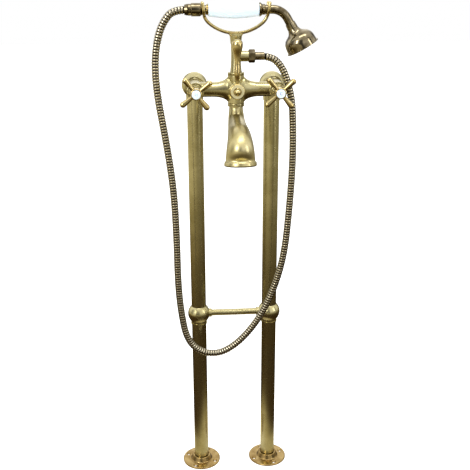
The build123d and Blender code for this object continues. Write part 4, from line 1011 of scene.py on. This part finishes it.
    def _wind(self) -> None:
        """Extrude a circle from ring to ring along the path."""
        length = sum((b - a).length for a, b in zip(self.path, self.path[1:]))
        rings = self._rings(length)
        places = self._places([ring[0] for ring in rings])
        bm = bmesh.new()
        crest = bm.verts.layers.float.new(CREST_LAYER)
        loop_verts = bmesh.ops.create_circle(bm, cap_ends=False, segments=self.facets, radius=1.0)["verts"]
        loop_edges = bm.edges[:]
        unit = [vert.co.copy() for vert in loop_verts]
        side = Vector((0, 1, 0))
        for number, ((_, radius, rise), (spot, along)) in enumerate(zip(rings, places)):
            turn = Matrix((side, along.cross(side), along)).transposed()
            if number:
                loop_verts, loop_edges = self._next_ring(bm, loop_verts, loop_edges)
            for vert, flat in zip(loop_verts, unit):
                vert.co = spot + turn @ (flat * radius)
                vert[crest] = rise
        bmesh.ops.holes_fill(bm, edges=[edge for edge in bm.edges if len(edge.link_faces) == 1], sides=0)
        bmesh.ops.recalc_face_normals(bm, faces=bm.faces[:])
        piece = mesh_object(bm, "shower_hose_wound", self.palette(Finish.HOSE), self.smooth_angle)
        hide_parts("shower_hose")
        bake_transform(piece)
        LOG.info("wound the hose: %.0f mm, %d rings", length / MM, len(rings))


# Studio


@dataclass(frozen=True)
class SoftBox:
    """One soft box: a lit rectangle, in metres and watts."""

    name: str
    spot: tuple[float, float, float]
    width: float
    height: float
    watts: float

    def hang(self, aim: Vector) -> None:
        """Hang the box and face it to a point.

        Args:
            aim: the point in metres.
        """
        light = bpy.data.lights.new(self.name, "AREA")
        light.shape, light.size, light.size_y = "RECTANGLE", self.width, self.height
        light.energy = self.watts
        holder = bpy.data.objects.new(self.name, light)
        holder.location = self.spot
        toward = aim - Vector(self.spot)
        holder.rotation_euler = toward.to_track_quat("-Z", "Y").to_euler()
        bpy.context.scene.collection.objects.link(holder)


@dataclass
class Studio:
    """Pale floor, soft lights and the photograph's camera."""

    camera_mm: tuple[float, float, float] = (-104.85, -1456.73, 1034.19)
    yaw: float = math.radians(4.26)
    pitch: float = math.radians(18.8)
    roll: float = math.radians(-0.141)
    sensor_mm: float = 36.0
    focal_px: float = 746.1
    image_px: float = 470.0
    centre_px: float = 235.5
    # How brightly the metal sees each part of the room
    overhead: float = 1.25
    behind: float = 0.3
    left: float = 0.2
    below: float = 0.06
    # Where each part starts and ends, along the direction that the metal looks in
    overhead_limits: Limits = (-0.3, 0.3)
    behind_limits: Limits = (0.2, 0.95)
    left_limits: Limits = (-0.95, -0.15)
    # How many soft boxes hang round the room, as waves of light and gap, and the waves' phase in radians
    soft_boxes: float = 5.0
    box_phase: float = 0.7
    # The gaps: how light they are, where a wave leaves and enters one, and where upwards they close
    gap: float = 0.1
    gap_limits: Limits = (-0.7, 0.1)
    gap_closes: Limits = (0.4, 0.75)
    # The room's light is warmer below
    warm_tint: str = "#F0DCB2"
    warm_limits: Limits = (-0.5, 0.1)
    # Half the floors' width and how far below the feet they lie, in metres
    floor_half: float = 12.0
    floor_drop: float = 0.0004
    mirrored_drop: float = 0.0008
    floor_glow: float = 0.4
    # Share of the reach away from the mixer, and the floor's colour there as the metal sees it
    floor_reach: float = 4.0
    floor_bands: tuple[tuple[float, str], ...] = (
        (0.0, "#FFF8E6"), (0.03, "#E4D8B4"), (0.06, "#49361A"), (0.13, "#44341A"), (0.28, "#54431F"),
        (0.36, "#73623C"), (0.5, "#A59B78"), (0.7, "#D2CAAC"),
    )
    # The mirrored floor is brighter on the left than on the right
    side_limits: Limits = (-1.6, 1.6)
    left_glow: float = 1.3
    right_glow: float = 0.65
    aim: tuple[float, float, float] = (0, -0.05, 0.6)
    boxes: tuple[SoftBox, ...] = (
        SoftBox("key_box", spot=(-1.5, -2.0, 1.7), width=0.5, height=1.3, watts=26.0),
        SoftBox("right_box", spot=(1.8, -1.2, 1.3), width=0.35, height=1.5, watts=10.0),
        SoftBox("top_box", spot=(0.1, -0.5, 2.6), width=1.4, height=0.6, watts=15.0),
    )

    def build(self) -> None:
        """Set up everything that is not part of the mixer."""
        self._camera()
        self._floor()
        self._mirrored_floor()
        self._room()
        for box in self.boxes:
            box.hang(Vector(self.aim))

    def _camera(self) -> None:
        """Place the camera where the photograph was taken from."""
        lens = bpy.data.cameras.new("photo_camera")
        lens.sensor_width = self.sensor_mm
        lens.lens = self.focal_px * self.sensor_mm / self.image_px
        lens.shift_x = (self.image_px / 2 - self.centre_px) / self.image_px
        lens.shift_y = (self.centre_px - self.image_px / 2) / self.image_px
        camera = bpy.data.objects.new("photo_camera", lens)
        turn = Matrix.Rotation(-self.yaw, 4, "Z") @ Matrix.Rotation(math.pi / 2 - self.pitch, 4, "X")
        turn = turn @ Matrix.Rotation(self.roll, 4, "Z")
        camera.matrix_world = Matrix.Translation(Vector(self.camera_mm) * MM) @ turn
        bpy.context.scene.collection.objects.link(camera)
        bpy.context.scene.camera = camera

    def _sheet(self, name: str, material: bpy.types.Material, drop: float) -> bpy.types.Object:
        """Lay a wide flat sheet below the mixer's feet.

        Args:
            name: the sheet's name.
            material: its material.
            drop: metres below the feet.

        Returns:
            The sheet.
        """
        bm = bmesh.new()
        bmesh.ops.create_grid(bm, x_segments=2, y_segments=2, size=self.floor_half)
        sheet = mesh_object(bm, name, material)
        sheet.location.z = -drop
        return sheet

    def _floor(self) -> None:
        """Lay a wide pale floor that glows a little, as a lit table does, under the mixer."""
        material, nodes = empty_material("pale_studio_floor")
        nodes.surface(
            {
                "Base Color": linear_colour("#FBFBFA"),
                "Roughness": 0.75,
                "Specular IOR Level": 0.2,
                "Emission Color": linear_colour("#FFFFFF"),
                "Emission Strength": self.floor_glow,
            }
        )
        floor = self._sheet("studio_floor", material, self.floor_drop)
        # The metal mirrors the studio's own floor, below, and not the glowing table.
        floor.visible_glossy = False

    def _mirrored_floor(self) -> None:
        """Lay the studio floor as the metal mirrors it: a pale table, then dim, then pale far off."""
        material, nodes = empty_material("mirrored_studio_floor")
        place = nodes.place()
        away = nodes.add("VectorMath", {0: place}, operation="LENGTH").outputs["Value"]
        colour = nodes.ramp(nodes.remap(away, (0.0, self.floor_reach)), self.floor_bands, "EASE")
        across = nodes.add("SeparateXYZ", {"Vector": place}).outputs["X"]
        strength = nodes.remap(across, self.side_limits, self.left_glow, self.right_glow)
        glow = nodes.add("Emission", {"Color": colour, "Strength": strength})
        nodes.add("OutputMaterial", {"Surface": glow.outputs["Emission"]})
        floor = self._sheet("mirrored_floor", material, self.mirrored_drop)
        floor.visible_camera = False
        floor.visible_diffuse = False
        floor.visible_shadow = False

    def _room(self) -> None:
        """Make the room that the metal mirrors: bright overhead and behind, dim brown below."""
        world = bpy.data.worlds.new("studio_room")
        world.use_nodes = True
        nodes = Nodes(world.node_tree)
        toward = nodes.add("SeparateXYZ", {"Vector": nodes.add("TexCoord").outputs["Generated"]}).outputs

        def band(axis: str, limits: Limits, start: float, end: float) -> bpy.types.NodeSocket:
            """Give a smooth rise from one strength to another along an axis of the room."""
            return nodes.remap(toward[axis], limits, start, end, smooth=True)

        # Soft boxes hang all round with dark gaps between them, which draws streaks on the metal.
        turn = nodes.calculate("ARCTAN2", toward["Y"], toward["X"])
        wave = nodes.calculate(
            "SINE", nodes.calculate("MULTIPLY_ADD", turn, self.soft_boxes, self.box_phase)
        )
        # Straight above there is one wide box, since all the gaps would meet there.
        gaps = nodes.remap(wave, self.gap_limits, band("Z", self.gap_closes, self.gap, 1.0), smooth=True)
        overhead = nodes.calculate("MULTIPLY", band("Z", self.overhead_limits, 0.0, self.overhead), gaps)
        behind = band("Y", self.behind_limits, 0.0, self.behind)
        left = band("X", self.left_limits, self.left, 0.0)
        strength = nodes.calculate("ADD", overhead, nodes.calculate("ADD", behind, left))
        tint = nodes.mix(
            band("Z", self.warm_limits, 0.0, 1.0), linear_colour(self.warm_tint), linear_colour("#FFFFFF")
        )
        mirrored = nodes.add(
            "Background", {"Color": tint, "Strength": nodes.calculate("ADD", strength, self.below)}
        )
        seen = nodes.add("Background", {"Color": linear_colour("#FFFFFF"), "Strength": 1.0})
        rays = nodes.add("LightPath").outputs["Is Camera Ray"]
        both = nodes.add(
            "MixShader", {0: rays, 1: mirrored.outputs["Background"], 2: seen.outputs["Background"]}
        )
        nodes.add("OutputWorld", {"Surface": both.outputs["Shader"]})
        bpy.context.scene.world = world
        bpy.context.scene.view_settings.view_transform = "Standard"


def main() -> None:
    """Load the frame, dress every sub-assembly and light it."""
    logging.basicConfig(level=logging.INFO, format="%(name)s: %(message)s")
    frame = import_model()
    palette = Palette()
    sub_assemblies = (
        FloorStand(frame, palette),
        ValveBody(frame, palette),
        CrossHandle(frame, palette, side="hot", letter="H", centre_x_mm=-75.0),
        CrossHandle(frame, palette, side="cold", letter="C", centre_x_mm=75.0),
        Diverter(frame, palette),
        ColumnAndSpout(frame, palette),
        HandShower(frame, palette),
        ShowerHose(frame, palette),
    )
    for sub_assembly in sub_assemblies:
        sub_assembly.build()
    Studio().build()


if __name__ == "__main__":
    main()
